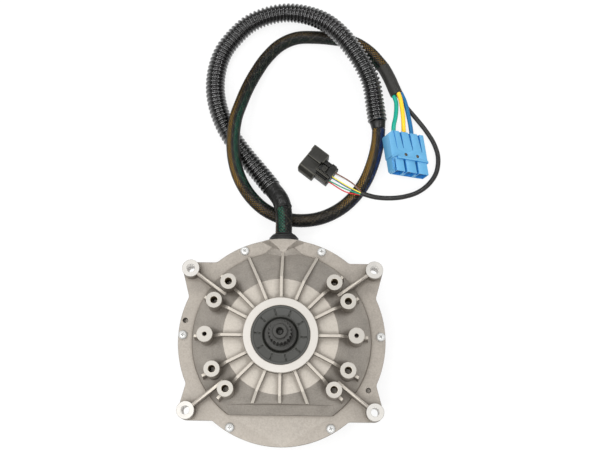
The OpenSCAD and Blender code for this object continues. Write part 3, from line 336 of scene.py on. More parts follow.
# %% [markdown]
# Most of the harness is a braided sleeve: flat bundles of black monofilament, woven
# over and under each other, that show the three thick leads inside as long streaks
# of gold, green and navy. Each bundle is modelled as its own narrow crowned strip
# that rises and dips along its helix, over a three-lobed core that carries the
# streaks. So the weave casts its own shadows, which a flat pattern would not.

# %% The braided sleeve
SLEEVE = [(97, 228, 12), (95.6, 211, 10.6), (91, 191, 8.6), (83, 171, 7.2),
          (71, 154, 7.2), (56, 141, 7.2), (37, 132, 7.2), (16, 129, 7.2),
          (-4, 132, 7.2), (-23, 141, 9.6), (-38, 155, 15.4), (-48, 172, 22),
          (-53, 191, 27.2), (-54, 211, 29), (-52, 232, 27), (-47, 251, 22.6),
          (-41, 270, 17.6), (-33, 289, 13), (-23, 307, 9.6), (-9, 323, 7.6),
          (9, 332, 7.2), (30, 333, 7.2), (51, 331, 7.2), (71, 327, 7.2),
          (88, 316, 7.2), (102, 300, 7.2)]
EXIT = [(0, 110, 24), (0, 119, 24.4), (0, 128, 24.6), (-1, 137, 24)]
SLEEVE_R, EXIT_R = 7.0, 8.5
CARRIERS, PITCH = 16, 52.0  # strips each way, and mm for one turn of them
STEP = PITCH / (4 * CARRIERS)
STRIP = ((-0.5, -0.14), (0, 0.1), (0.5, -0.14))  # shares of its width, and its crown
STRIP_DEEP, STRIP_LIFT, CORE_DEEP = 0.35, 0.3, 0.62
LOBES, LOBE, TWIST = 3, 0.035, 70


def lobes(radius, ran, turn):
    """Three leads lie inside, so the sleeve is a little lobed, with a slow twist."""
    return radius * (1 + LOBE * math.cos(LOBES * (turn - ran / TWIST)))


def braid(name, line, radius, width):
    """Crowned strips that wind both ways round a line, over and under each other."""
    steps, points, faces, shade = list(along(line)), [], [], []
    lean = math.atan(2 * math.pi * radius / PITCH)
    for way in (1, -1):
        for c in range(CARRIERS):
            first = len(points)
            for p, ran, t, s, u in steps:
                a = 2 * math.pi * (c / CARRIERS + way * ran / PITCH)
                out = outward(s, u, a)
                side = -math.sin(a) * s + math.cos(a) * u
                across = side * math.cos(lean) - way * t * math.sin(lean)
                wave = way * STRIP_LIFT * math.cos(2 * math.pi * CARRIERS * ran / PITCH)
                r = lobes(radius, ran, a) - STRIP_DEEP + wave
                for share, crown in STRIP:
                    points.append(p + MM * ((r + crown) * out + share * width * across))
            for i in range(len(line) - 1):
                for k in (first + 3 * i, first + 3 * i + 1):
                    faces.append((k, k + 1, k + 4, k + 3))
                    shade.append(c / CARRIERS)
    return face_mark(mesh_piece(name, points, faces), "carrier", shade)


def core(name, line, radius, turned_by=0.0):
    """The leads inside the sleeve, as one lobed tube with lanes for its colours."""
    piece = tube(name, line, lambda ran, a: lobes(radius, ran, a) - CORE_DEEP, 36)
    for corner in piece.data.uv_layers["lanes"].data:
        corner.uv.x += turned_by
    return piece


sleeve_line, exit_line = smooth(SLEEVE, STEP), smooth(EXIT, STEP)
sleeve_braid = braid("sleeve_braid", sleeve_line, SLEEVE_R, 1.1)
sleeve_core = core("sleeve_core", sleeve_line[::3] + sleeve_line[-1:], SLEEVE_R)
exit_braid = braid("exit_braid", exit_line, EXIT_R, 1.25)
exit_core = core("exit_core", exit_line, EXIT_R, turned_by=0.42)
print("sleeve", round(length(sleeve_line), 3), "m,",
      len(sleeve_braid.data.polygons), "faces")

# %% [markdown]
# Where the sleeve enters the loom it is bound with vinyl tape, and where the leads
# come out it is closed by shrink tube. Tape is a tube whose radius steps up at
# every lap of its spiral. Shrink tube is smooth, follows what it holds, and thins
# towards its cut end.

# %% Tape and shrink tube
START_WRAP = [(-1, 137, 24), (-4, 146, 21.6), (-8, 153, 18.6), (-13, 160, 15.6)]
END_TAPE = [(96, 235, 12.6), (97, 228, 12)]
END_WRAP = [(102, 300, 7.2), (107, 291, 7.2), (112, 280, 7.2), (117, 268, 7.2)]
PLY = 0.28  # how far a lap of tape stands over the one before


def tape(name, line, radius, lap, taper=0.0):
    """A tube wound with tape, a lap wide, and thinner by taper at its end."""
    total = length(line) / MM

    def laid(ran, turn):
        share = (ran / lap - turn / (2 * math.pi)) % 1.0
        crease = 0.06 * math.sin(5 * turn + ran * 0.7) * math.sin(ran * 0.4 + 1)
        held = radius - taper * (ran / total) ** 0.6
        return held - PLY + PLY * min(1.0, 6 * (1 - share)) + crease
    return tube(name, line, laid, 48)


def shrunk(name, line, radius):
    """A shrink tube, a little dented, with rounded ends."""
    total = length(line) / MM

    def held(ran, turn):
        end = min(1.0, ran / 1.2, (total - ran) / 1.2)
        dent = 0.12 * math.sin(3 * turn + ran / 9) + 0.05 * math.sin(7 * turn - ran / 3)
        return radius - 0.5 + 0.35 * max(0.0, end) ** 0.5 + dent
    return tube(name, line, held, 48)


start_wrap = tape("start_wrap", smooth(START_WRAP, 0.4), 8.9, 7.5)
end_tape = tape("end_tape", smooth(END_TAPE, 0.4), 8.7, 6.0, taper=1.5)
end_wrap = shrunk("end_wrap", smooth(END_WRAP, 0.6), 6.9)
print("wraps", [p.name for p in (start_wrap, end_tape, end_wrap)])

# %% [markdown]
# The three phase leads, the round sensor cable and its six thin wires have plain
# jackets, so each is a curve with a round bevel, through even points on a smooth
# line. The thickness is given at the points, so the curve's own box has the right
# size. The looks say which CAD node each stands for, with its slot and its colour.

# %% Leads, sensor cable and wires
LEAD_R, CABLE_R, WIRE_R = 2.3, 2.5, 0.65
LEAD_ROUTES = {
    "green": [(113.6, 266.6, 8), (116, 257.4, 9.6), (115, 242, 13.6),
              (112.4, 229, 17.8), (111.78, 214.68, 19.65)],
    "yellow": [(118.2, 268.5, 11.4), (120.8, 259, 11.8), (122.6, 243.4, 12.8),
               (123, 229.6, 14), (123.15, 214.47, 14.73)],
    "blue": [(121.3, 269.8, 8.2), (125.6, 259, 8.4), (128.6, 244.6, 9.2),
             (131, 229, 10.2), (132.21, 214.3, 10.81)],
}
CABLE_ROUTE = [(119, 268.8, 3.7), (128, 255, 2.9), (138.4, 242, 2.8), (148, 229, 2.8),
               (156, 215, 2.8), (160, 200, 2.8), (158, 184, 2.8), (150, 171, 3.4),
               (138, 161, 6), (124, 155, 10), (109, 152, 14), (93, 152, 17.2),
               (78, 156, 17.4)]
WIRE_ROUTES = {
    "red": [(77.59, 154.45, 16.5), (62, 158.6, 13.4), (45.3, 171.33, 5.2)],
    "green": [(77.59, 154.45, 18.3), (62.4, 161, 15.4), (45.3, 171.33, 9.4)],
    "yellow": [(78, 156, 18.3), (64.6, 164, 14.8), (48.62, 175.58, 9.8)],
    "blue": [(78, 156, 16.5), (65, 163, 13.4), (48.62, 175.58, 5.2)],
    "white": [(78.41, 157.55, 16.5), (68.8, 168, 13.2), (51.95, 179.84, 5.2)],
    "brown": [(78.41, 157.55, 18.3), (68, 168.4, 15), (51.95, 179.84, 9.6)],
}
JACKETS = {
    **{hue + "_jacket": (LEAD_R, route) for hue, route in LEAD_ROUTES.items()},
    "sensor_jacket": (CABLE_R, CABLE_ROUTE),
    **{hue + "_core": (WIRE_R, route) for hue, route in WIRE_ROUTES.items()}}
LEADS = {"green": (18, 160, 138), "yellow": (252, 200, 42), "blue": (0, 99, 152)}
WIRES = {"red": (214, 44, 52), "green": (30, 150, 110), "yellow": (232, 216, 70),
         "blue": (24, 96, 160), "white": (226, 226, 224), "brown": (116, 74, 58)}
JACKET_LOOKS = {
    **{hue + "_jacket": (hue + "_lead", hue + "_jacket", LEADS[hue]) for hue in LEADS},
    "sensor_jacket": ("sensor_cable", "black_cable", (34, 33, 32)),
    **{hue + "_core": ("wire_" + hue, hue + "_wire", WIRES[hue]) for hue in WIRES}}


def jacket(name, radius, route):
    """A round jacket along a route, and its length."""
    line = smooth(route, 1.5 if radius > 1 else 1.0)
    curve = bpy.data.curves.new(name, "CURVE")
    curve.dimensions, curve.use_fill_caps = "3D", True
    curve.bevel_depth, curve.bevel_resolution = 1.0, 4
    spline = curve.splines.new("POLY")
    spline.points.add(len(line) - 1)
    for point, p in zip(spline.points, line):
        point.co, point.radius = (*p, 1), radius * MM
    spline.use_smooth = True
    return linked(name, curve), length(line)


jackets, long = {}, {}
for name, (radius, route) in JACKETS.items():
    jackets[name], long[name] = jacket(name, radius, route)
print({name: round(value, 4) for name, value in long.items()})

# %% [markdown]
# Every piece of the harness goes with the housing, and the CAD nodes that they stand
# for are hidden.

# %% The harness goes with the housing
def point(p):
    return tuple(c * MM for c in p)


for piece in (loom, sleeve_braid, sleeve_core, exit_braid, exit_core, start_wrap,
              end_tape, end_wrap, *jackets.values()):
    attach(piece, "housing")
for piece, cad, slot in (
        (loom, "corrugated_loom", "loom_plastic"),
        (sleeve_braid, "braided_sleeve", "braid"),
        (exit_braid, "exit_sleeve", "braid"), (start_wrap, "loom_start_wrap", "tape"),
        (end_tape, "loom_end_tape", "tape"), (end_wrap, "sleeve_end_wrap", "shrink"),
        *((jackets[name], cad, slot) for name, (cad, slot, _) in JACKET_LOOKS.items())):
    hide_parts(cad)

point(LOOM[0])
point(SLEEVE[0])
for name in ("green_jacket", "yellow_jacket", "blue_jacket"):
    point(JACKETS[name][1][0])
point(JACKETS["sensor_jacket"][1][0])
for name in ("red_core", "green_core", "yellow_core", "blue_core", "white_core",
             "brown_core"):
    point(JACKETS[name][1][0])

# %% [markdown]
# The motor lies on a plain pale floor that keeps its shadow. To the camera the
# floor is mostly its own plain white, and it still darkens where light is missing.
# One wide soft lamp hangs over the motor, as over the photographer's table, so the
# flat faces are bright and the slopes are darker. Four narrow strips around it draw
# the rows of highlights that run along the glossy loom.

# %% Floor, world and lamps
STRIP_Z, MIDDLE_Y = 1.2, 0.2


def only_seen(finish):
    """1 for rays from the camera, in mirrors and through glass, and 0 for the rest."""
    rays = finish.tree.nodes.new("ShaderNodeLightPath").outputs
    seen = Signal(finish, rays["Is Camera Ray"])
    for kind in ("Is Glossy Ray", "Is Transmission Ray"):
        seen = finish.maths("MAXIMUM", seen, Signal(finish, rays[kind]))
    return seen


def lamp(name, place, turn, size, power, long=None):
    data = bpy.data.lights.new(name, "AREA")
    data.shape, data.size, data.energy = "DISK", size, power
    if long:
        data.shape, data.size_y = "RECTANGLE", long
    made = linked(name, data)
    made.location, made.rotation_euler = place, turn


deselect()
bpy.ops.mesh.primitive_circle_add(vertices=64, radius=FLOOR_RADIUS, fill_type="NGON",
                                  location=(0, 0.1, -0.0002))
floor = bpy.context.object
floor.name = "floor"
paper = Finish("ground")
paper.set(Base_Color=colour(250, 250, 250), Roughness=0.9, Specular_IOR_Level=0.0)
glow = paper.node("ShaderNodeEmission", {}, {"Color": (1, 1, 1, 1), "Strength": 1.0})
both = paper.node("ShaderNodeMixShader", {}, {
    0: only_seen(paper) * 0.8, 1: Signal(paper, paper.shader.outputs[0]), 2: glow})
paper.feed(paper.tree.nodes["Material Output"].inputs[0], both)
dress(floor, paper)

world = bpy.data.worlds.new("studio")
bpy.context.scene.world = world
world.use_nodes = True
sky = world.node_tree.nodes["Background"].inputs
sky["Color"].default_value, sky["Strength"].default_value = (1, 1, 1, 1), 0.36

over, aim = Vector((-0.3, -0.15, 1.65)), Vector((0, 0.08, 0))
lamp("key", over, (aim - over).to_track_quat("-Z", "Y").to_euler(), 0.9, 12)
for name, x, y, wide, long in (
        ("strip_left", -0.9, 0.2, 0.1, 2.0), ("strip_right", 0.9, 0.2, 0.1, 2.0),
        ("strip_near", 0.0, -0.7, 2.0, 0.1), ("strip_far", 0.0, 1.1, 2.0, 0.1)):
    turn = (-math.atan2(y - MIDDLE_Y, STRIP_Z), math.atan2(x, STRIP_Z), 0)
    lamp(name, (x, y, STRIP_Z), turn, wide, 7, long)
print("floor, world and five lamps")

# %% [markdown]
# Most finishes here are one of a few kinds: cast or machined metal, moulded plastic,
# rubber, cable jacket. Each gets a soft mottle of its colour, a change of roughness
# and a fine bump at the real scale, so that no surface is one flat colour.

# %% Finishes by kind
def mottled(name, tone, dark, patch, rough, spread=0.12, grain=1500.0, depth=0.00004,
            metal=0.0, coat=0.0, sheen=0.5, speck=0.3):
    """A finish with patches of a darker tone, uneven gloss and a fine grain."""
    made, tone = Finish(name), colour(*tone)
    patches, fine = made.noise(patch, 4.0), made.noise(grain, 2.0)
    share = made.span(patches * (1 - speck) + fine * speck, 0.3, 0.7, soft=True)
    low = tuple(c * dark for c in tone[:3]) + (1,)
    gloss = made.span(patches, 0.3, 0.7, max(0.04, rough - spread),
                      min(1.0, rough + spread))
    return made.set(Base_Color=made.blend(share, low, tone), Roughness=gloss,
                    Metallic=metal, Coat_Weight=coat, Specular_IOR_Level=sheen,
                    Normal=made.bump(fine, depth))


def painted_light_by_face(finish, crest, hollow):
    """Paints light and shade by the face mark: 1 takes a finish to its lit crest tone,
    0 to its shaded hollow tone.
    """
    painted_light = finish.attribute("painted_light")
    up, down = finish.span(painted_light, 0.5, 1.0), finish.span(painted_light, 0.5, 0.0)
    with_painted_shade = finish.blend(down, finish.skin(), colour(*hollow))
    finish.set(Base_Color=finish.blend(up, with_painted_shade, colour(*crest)))


MOULD_RADIUS, PAINTED_SHADE_REACH = 0.0009, 0.006
cast = mottled("cast_aluminium", (164, 157, 148), 0.72, 70, 0.5, spread=0.06, grain=700,
               depth=0.00006, metal=0.45, speck=0.5)
cast.feed(cast.tree.nodes["Bump"].inputs["Normal"],
          cast.node("ShaderNodeBevel", {"samples": 6}, {"Radius": MOULD_RADIUS}))
painted_light_by_face(cast, (196, 189, 178), (118, 110, 100))
# Painted shade: an Ambient Occlusion node darkens the cast colour towards dark brown in
# corners and beside ribs and bosses.
corner = cast.node("ShaderNodeAmbientOcclusion", {"samples": 12, "only_local": True},
                   {"Distance": PAINTED_SHADE_REACH}, out=1)
cast.set(Base_Color=cast.blend(cast.span(corner, 0.66, 0.86, 0.5, 0.0), cast.skin(),
                               colour(104, 96, 86)))
tooled = {"spread": 0.05, "grain": 900, "depth": 0.00001, "metal": 0.45}
machined = mottled("machined_aluminium", (182, 178, 172), 0.95, 120, 0.48, **tooled)
sawn = mottled("faced_boss", (168, 164, 157), 0.95, 160, 0.5, **tooled)
polished = mottled("bright_ear", (184, 181, 176), 0.95, 160, 0.45, **tooled)
# Painted light: the ear bores are lined near white, standing in for the light that
# comes through the holes.
bore_painted_white = mottled("bore_painted_light", (238, 236, 233), 0.97, 90, 0.6, metal=0.1)
zinc = mottled("zinc", (204, 204, 202), 0.85, 300, 0.45, spread=0.08, grain=2500,
               depth=0.00002, metal=0.4)
thread_steel = mottled("thread_metal", (112, 98, 76), 0.7, 400, 0.45, spread=0.1,
                       depth=0.00002, metal=0.6)
shaft_steel = mottled("shaft_steel", (50, 49, 46), 0.8, 200, 0.42, spread=0.08,
                      grain=1700, depth=0.00002, metal=0.35)
dark_steel = mottled("dark_steel", (86, 84, 80), 0.7, 250, 0.4, spread=0.1, grain=1800,
                     depth=0.00002, metal=0.6)
bright_steel = mottled("bright_steel", (200, 202, 206), 0.9, 200, 0.22, spread=0.06,
                       grain=2600, depth=0.00001, metal=1.0)
seal_rubber = mottled("seal_rubber", (56, 56, 52), 0.8, 45, 0.5, spread=0.05,
                      grain=2200, depth=0.00002)
black_rubber = mottled("black_rubber", (30, 30, 30), 0.7, 150, 0.5, grain=2400,
                       depth=0.00003, sheen=0.35)
plug_blue = mottled("plug_blue", (92, 160, 202), 0.95, 70, 0.42, spread=0.06, grain=900,
                    depth=0.00002)
# Painted highlight, pale blue, on rounded upper edges; painted shade, deep blue, in
# mouths, slots and grooves.
painted_light_by_face(plug_blue, (140, 196, 232), (20, 112, 184))
connector_black = mottled("connector_black", (37, 36, 32), 0.85, 100, 0.45, spread=0.08,
                          grain=1400, depth=0.00003, sheen=0.3)
# Painted highlight, grey, on rounded upper edges; painted shade, near black, in pockets
# and closed-in faces.
painted_light_by_face(connector_black, (74, 72, 64), (9, 9, 7))
old_brass = mottled("pin_metal", (120, 108, 84), 0.7, 500, 0.4, metal=0.8)
print("kinds of finish ready")

# %% [markdown]
# The loom is glossy, tape and shrink tube are dull. Each strip of the braid takes its
# tone from its own number, and a few strips are painted paler, as painted glints on
# the black. Below them the core shows the leads: gold, green and navy lanes round it,
# which turn slowly along the sleeve, come and go with a noise, and lie open in some
# stretches only.

# %% Finishes of the harness
loom_plastic = mottled("loom_plastic", (13, 13, 12), 0.75, 110, 0.2, spread=0.04,
                       grain=1700, depth=0.00001, coat=1.0)
vinyl = mottled("vinyl_tape", (24, 24, 23), 0.75, 200, 0.34, spread=0.1, grain=900,
                depth=0.00008, sheen=0.35)
shrink = mottled("shrink_tube", (42, 41, 38), 0.8, 160, 0.55, spread=0.1, depth=0.00003,
                 sheen=0.35)

# Painted glints: a few carriers get a paler tone than the black, as painted highlights
# on the weave.
STRAND_TONES = ((0.0, (9, 9, 8)), (0.1, (44, 42, 33)), (0.16, (10, 10, 9)),
                (0.35, (36, 35, 29)), (0.41, (11, 11, 10)), (0.6, (46, 43, 34)),
                (0.66, (9, 9, 8)), (0.85, (34, 33, 28)), (0.91, (10, 10, 9)))
LANE_TONES = ((0.05, (12, 12, 11)), (0.1, (224, 170, 58)), (0.2, (220, 166, 56)),
              (0.26, (12, 12, 11)), (0.29, (10, 14, 12)), (0.33, (16, 130, 100)),
              (0.42, (16, 128, 98)), (0.47, (10, 13, 12)), (0.77, (11, 12, 14)),
              (0.82, (44, 92, 180)), (0.93, (44, 90, 176)), (0.98, (11, 12, 13)))
OPEN_ALONG = ((0.0, 0.9), (0.15, 0.75), (0.2, 0.12), (0.33, 0.12), (0.4, 0.9),
              (0.54, 0.8), (0.62, 0.16), (0.84, 0.14), (0.93, 0.5), (1.0, 0.3))
SLEEVE_CM = 52

strands = Finish("braid_strands")
fibre = strands.noise(2600, 2.0)
strands.set(Base_Color=strands.ramp(
    strands.attribute("carrier"), [(x, colour(*tone)) for x, tone in STRAND_TONES],
    "CONSTANT"), Coat_Weight=0.1, Specular_IOR_Level=0.2,
    Roughness=0.22 + 0.2 * fibre, Normal=strands.bump(fibre, 0.00004))

streaks = Finish("leads_in_sleeve")
lanes = streaks.node("ShaderNodeTexCoord", out="UV")
around, ran = (streaks.node("ShaderNodeSeparateXYZ", {}, {0: lanes}, out=axis)
               for axis in (0, 1))
lay = streaks.span(ran, 0.0, 23.0, 0.4, 0.12)
back = streaks.span(ran, 33.0, 46.0, 0.0, 0.1, soft=True)
turn = streaks.maths("FRACT", around - lay - back + 1.15)
bright = streaks.span(streaks.noise(14, 2.0), 0.36, 0.56, 0.25, 1.0, soft=True)
wire_tone = streaks.ramp(turn, [(x, colour(*tone)) for x, tone in LANE_TONES], "EASE")
shown = streaks.ramp(ran * (1 / SLEEVE_CM), [(x, (g, g, g, 1)) for x, g in OPEN_ALONG])
streaks.set(Base_Color=streaks.blend(bright * shown, colour(14, 14, 13), wire_tone),
            Specular_IOR_Level=0.12, Roughness=0.4 + 0.1 * streaks.noise(300))

for piece, finish in ((loom, loom_plastic), (start_wrap, vinyl), (end_tape, vinyl),
                      (end_wrap, shrink), (sleeve_braid, strands),
                      (exit_braid, strands), (sleeve_core, streaks),
                      (exit_core, streaks)):
    dress(piece, finish)
for name, (cad, slot, tone) in JACKET_LOOKS.items():
    dress(jackets[name], mottled(name + "_finish", tone, 0.9, 90, 0.38,
                                 spread=0.08, grain=700, depth=0.00003, sheen=0.35))
print("harness dressed")

# %% [markdown]
# A CAD mesh is a set of loose triangles, so a copy is merged and shaded smooth up to
# an angle, which keeps the ribs crisp. These helpers select, edit, copy, shade and
# dress one piece at a time.

# %% Copies of CAD meshes
def only(piece):
    """Deselects everything else and makes this piece the active one."""
    deselect()
    piece.select_set(True)
    bpy.context.view_layer.objects.active = piece
    return piece


def in_edit(piece, *steps):
    """Runs edit-mode steps on all of a piece."""
    only(piece)
    bpy.ops.object.mode_set(mode="EDIT")
    bpy.ops.mesh.select_all(action="SELECT")
    for step in steps:
        step()
    bpy.ops.object.mode_set(mode="OBJECT")
    return piece


def shaded(angle):
    """Shades the piece in hand smooth, apart from edges sharper than an angle."""
    bpy.ops.object.shade_smooth_by_angle(angle=math.radians(angle))


def outside_out():
    bpy.ops.mesh.normals_make_consistent(inside=False)


def raised(high):
    """Extrudes what is selected upward by a height in mm."""
    bpy.ops.mesh.extrude_region_move(
        TRANSFORM_OT_translate={"value": (0, 0, high * MM)})


def copied(node, name, angle=28):
    """A copy of a CAD node's mesh as a new object, its loose triangles merged."""
    piece = linked(name, nodes[node].data.copy())
    in_edit(piece, lambda: bpy.ops.mesh.remove_doubles(threshold=0.000002))
    if piece.data.has_custom_normals:
        bpy.ops.mesh.customdata_custom_splitnormals_clear()
    shaded(angle)
    return piece


def apply_all(piece):
    only(piece)
    for modifier in list(piece.modifiers):
        bpy.ops.object.modifier_apply(modifier=modifier.name)
    return piece


def belongs(piece, finish, slot, *cad, body="housing"):
    """Gives a piece its finish and body, and hides the CAD nodes that it stands for;
    slot is not used.
    """
    dress(piece, finish)
    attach(piece, body)
    if cad:
        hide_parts(*cad)
    return piece


print("copying helpers ready")

# %% [markdown]
# Moulded shells are built like the tool that forms them: a plan is extruded to a
# block, blocks are united, pockets are cut away, and a Bevel modifier rounds what is
# left. A cutter is a block too, and is taken away after its cut. Each face is then
# marked by how closed in it lies: its finish paints shade into closed-in faces and a
# painted highlight on rounded upper edges.

# %% Moulded blocks
def prism(name, plan, low, high):
    """A plan of (x, y) points in mm, extruded from one height to another."""
    block = mesh_piece(name, [Vector((x, y, low)) * MM for x, y in plan],
                       [tuple(range(len(plan)))], smoothed=False)
    return in_edit(block, lambda: raised(high - low),
                   lambda: bpy.ops.mesh.select_all(action="SELECT"), outside_out)


def box(name, x0, x1, y0, y1, z0, z1):
    return prism(name, [(x0, y0), (x1, y0), (x1, y1), (x0, y1)], z0, z1)


def combined(piece, kind, others):
    """Unites other blocks with a piece, or cuts them out of it."""
    for other in others:
        step = piece.modifiers.new(other.name, "BOOLEAN")
        step.operation, step.object, step.solver = kind, other, "EXACT"
    apply_all(piece)
    for other in others:
        bpy.data.objects.remove(other)
    return piece


def softened(piece, width, angle=30, shade=35):
    """Rounds the edges that are sharper than an angle, by a width in mm."""
    edges = piece.modifiers.new("edges", "BEVEL")
    edges.width, edges.segments, edges.limit_method = width * MM, 2, "ANGLE"
    edges.angle_limit = math.radians(angle)
    apply_all(piece)
    shaded(shade)
    return piece


def marked(piece, reach=5.0):
    """Marks rounded upper edges with 1, for a painted highlight, and faces that others
    close in with less, for painted shade.
    """
    tree = BVHTree.FromPolygons([v.co for v in piece.data.vertices],
                                [f.vertices[:] for f in piece.data.polygons])
    values = []
    for face in piece.data.polygons:
        n = face.normal
        side = n.orthogonal()
        start, hits = face.center + n * 0.02 * MM, 0
        for k in range(8):
            ray = (n + side).normalized()
            hits += tree.ray_cast(start, ray, reach * MM)[0] is not None
            side.rotate(Quaternion(n, math.pi / 4))
        edge = 0.2 < n.z < 0.98 and face.area < 16 * MM * MM
        values.append(max(0.0, 0.5 - 0.08 * hits) if hits > 1 else 1.0 if edge else 0.5)
    return face_mark(piece, "painted_light", values)


def placed(piece, place, skew=0.0):
    """Moves a block from its own frame to its place, its width skewed if need be."""
    for v in piece.data.vertices:
        v.co.y -= skew * v.co.x
    piece.data.transform(place)
    return piece


print("block helpers ready")

# %% [markdown]
# The covers are castings. Their crests are painted lighter, as painted light, their
# steep walls darker, as painted shade, and their flat faces lighter on the top than
# out on the flange. The hood over the cable outlet is drawn in to its photographed
# outline: its foot swells outward on both sides of the middle rib, and ends in a
# small blunt tip. The radii of the mould come from a Bevel node in the cast finish.

# %% Castings
FLANGE_Z, PLATEAU_Z, FOOT_Z = 45.0, 80.6, 47.5
PLATEAU_R, FOOT_R, BOWL_R = 53.9, 86.0, 86.5
TOP_R, RIM_R, RIB_END_R, RIB_HIGH, SHELF_Y = 54, 88, 88.4, 0.9, -61


def bare_height(r):
    """Height in mm of the front cover's own surface at a radius, without its ribs."""
    if r > BOWL_R:
        return FLANGE_Z
    fall = (PLATEAU_Z - FOOT_Z) / (FOOT_R - PLATEAU_R)
    return PLATEAU_Z - max(0.0, r - PLATEAU_R) * fall


def marked_lit_and_shaded(piece, bare=None):
    """Marks faces for painted light: crests above the bare height get up to 1, steep
    walls little, for painted shade, and with a bare height flat faces are lighter on
    the top than on the flange.
    """
    values = []
    for face in piece.data.polygons:
        c, n = face.center / MM, face.normal
        r = math.hypot(c.x, c.y)
        if (bare and n.z > 0.3 and r < RIB_END_R and c.z > bare(r) + RIB_HIGH
                and c.y > SHELF_Y):
            values.append(0.7 if r < TOP_R else 0.95)
        elif abs(n.z) < 0.25:
            values.append(0.12)
        elif bare and n.z >= 0.9:
            values.append(0.62 if r < TOP_R else 0.42 if r > RIM_R else 0.5)
        else:
            values.append(0.5)
    return face_mark(piece, "painted_light", values)


def near(a, b):
    return abs(a - b) < 0.1


front_casting = copied("front_cover", "front_casting")
for v in front_casting.data.vertices:
    x, y, z = (c / MM for c in v.co)
    if near(y, 88.5) and near(abs(x), 14) and near(z, FLANGE_Z):
        v.co = (math.copysign(11, x) * MM, 92 * MM, z * MM)
    elif near(y, 88.5) and near(abs(x), 4) and z > 49:
        v.co = (math.copysign(1.5, x) * MM, 88.3 * MM, z * MM)
belongs(marked_lit_and_shaded(front_casting, bare_height), cast, "cast_front", "front_cover")
rear_casting = marked_lit_and_shaded(copied("rear_cover", "rear_casting"))
belongs(rear_casting, cast, "cast_rear", "rear_cover")

SWELL = [(11, 92, 45), (1.2, 88.3, 49.5), (1.2, 82, 52), (13, 80.5, 50.5),
         (21, 83.6, 45), (11, 86, 40), (1.2, 84, 40)]
SWELL_FACES = [(0, 1, 2, 3), (0, 3, 4), (0, 4, 5), (0, 5, 6, 1), (1, 6, 2),
               (2, 6, 5, 3), (3, 5, 4)]
for side, hand in ((1, "right"), (-1, "left")):
    swell = mesh_piece("hood_foot_" + hand,
                       [Vector((side * x, y, z)) * MM for x, y, z in SWELL],
                       SWELL_FACES, smoothed=False)
    belongs(marked_lit_and_shaded(in_edit(swell, outside_out)), cast, "cast_front")
TIP = [(-4.6, 90.2), (-2.6, 87.0), (-1.1, 85.8), (1.1, 85.8), (2.6, 87.0), (4.6, 90.2)]
belongs(marked_lit_and_shaded(prism("hood_tip", TIP, 49.56, 45.06)), cast, "cast_front")
print("castings", len(front_casting.data.polygons), len(rear_casting.data.polygons))

# %% [markdown]
# Turned pieces are made as on a lathe. A filled circle is extruded and scaled from
# one point of the profile to the next. A ring runs back down its bore, and its two
# ends are then bridged. Copies of a piece are joined into one object.

# %% Turning and copying
def turned(name, profile, segments, ring=False, angle=35):
    """A solid of revolution about Z, from its (radius, height) points in mm."""
    deselect()
    bpy.ops.mesh.primitive_circle_add(vertices=segments, radius=profile[0][0] * MM,
                                      fill_type="NGON", location=(0, 0, 0))
    piece = bpy.context.object
    piece.name = piece.data.name = name
    bpy.ops.object.mode_set(mode="EDIT")
    bpy.ops.mesh.select_all(action="SELECT")
    bpy.ops.transform.translate(value=(0, 0, profile[0][1] * MM))
    for (r0, z0), (r1, z1) in zip(profile, profile[1:]):
        raised(z1 - z0)
        if r1 != r0:
            bpy.ops.transform.resize(value=(r1 / r0, r1 / r0, 1))
    if ring:
        bpy.ops.mesh.select_all(action="DESELECT")
        bpy.ops.mesh.select_face_by_sides(number=segments)
        bpy.ops.mesh.delete(type="ONLY_FACE")
        bpy.ops.mesh.select_mode(type="EDGE")
        bpy.ops.mesh.select_non_manifold()
        bpy.ops.mesh.bridge_edge_loops()
        bpy.ops.mesh.select_mode(type="VERT")
    bpy.ops.mesh.select_all(action="SELECT")
    outside_out()
    bpy.ops.object.mode_set(mode="OBJECT")
    shaded(angle)
    return piece


def fastened(piece):
    """Puts a piece's place into its mesh, with its object at the origin."""
    only(piece)
    bpy.ops.object.transform_apply(location=True, rotation=True, scale=True)
    return piece


def patterned(piece, places):
    """One object of copies, each at its (x, y) in mm and turned by its angle."""
    name, made = piece.name, []
    for x, y, turn in places:
        copy = linked(name, piece.data.copy())
        copy.matrix_world = at(x, y) @ spun(turn, "Z")
        made.append(copy)
    deselect()
    bpy.data.objects.remove(piece)
    for copy in made:
        copy.select_set(True)
    bpy.context.view_layer.objects.active = made[0]
    bpy.ops.object.join()
    made[0].name = name
    return fastened(made[0])


def round_about(radius, angles):
    return [(radius * math.cos(math.radians(a)), radius * math.sin(math.radians(a)), a)
            for a in angles]


print("turning helpers ready")

# %% [markdown]
# The tops of the bosses, the ears and the pilot ring are machined: flat, bright and
# sharp-edged against the dull casting. Each is a thin turned ring with small
# chamfers, a hair proud of the cast face. The eight tapped bosses get the ridges of
# an M8 thread, and the ear bores are lined near white, as painted light.

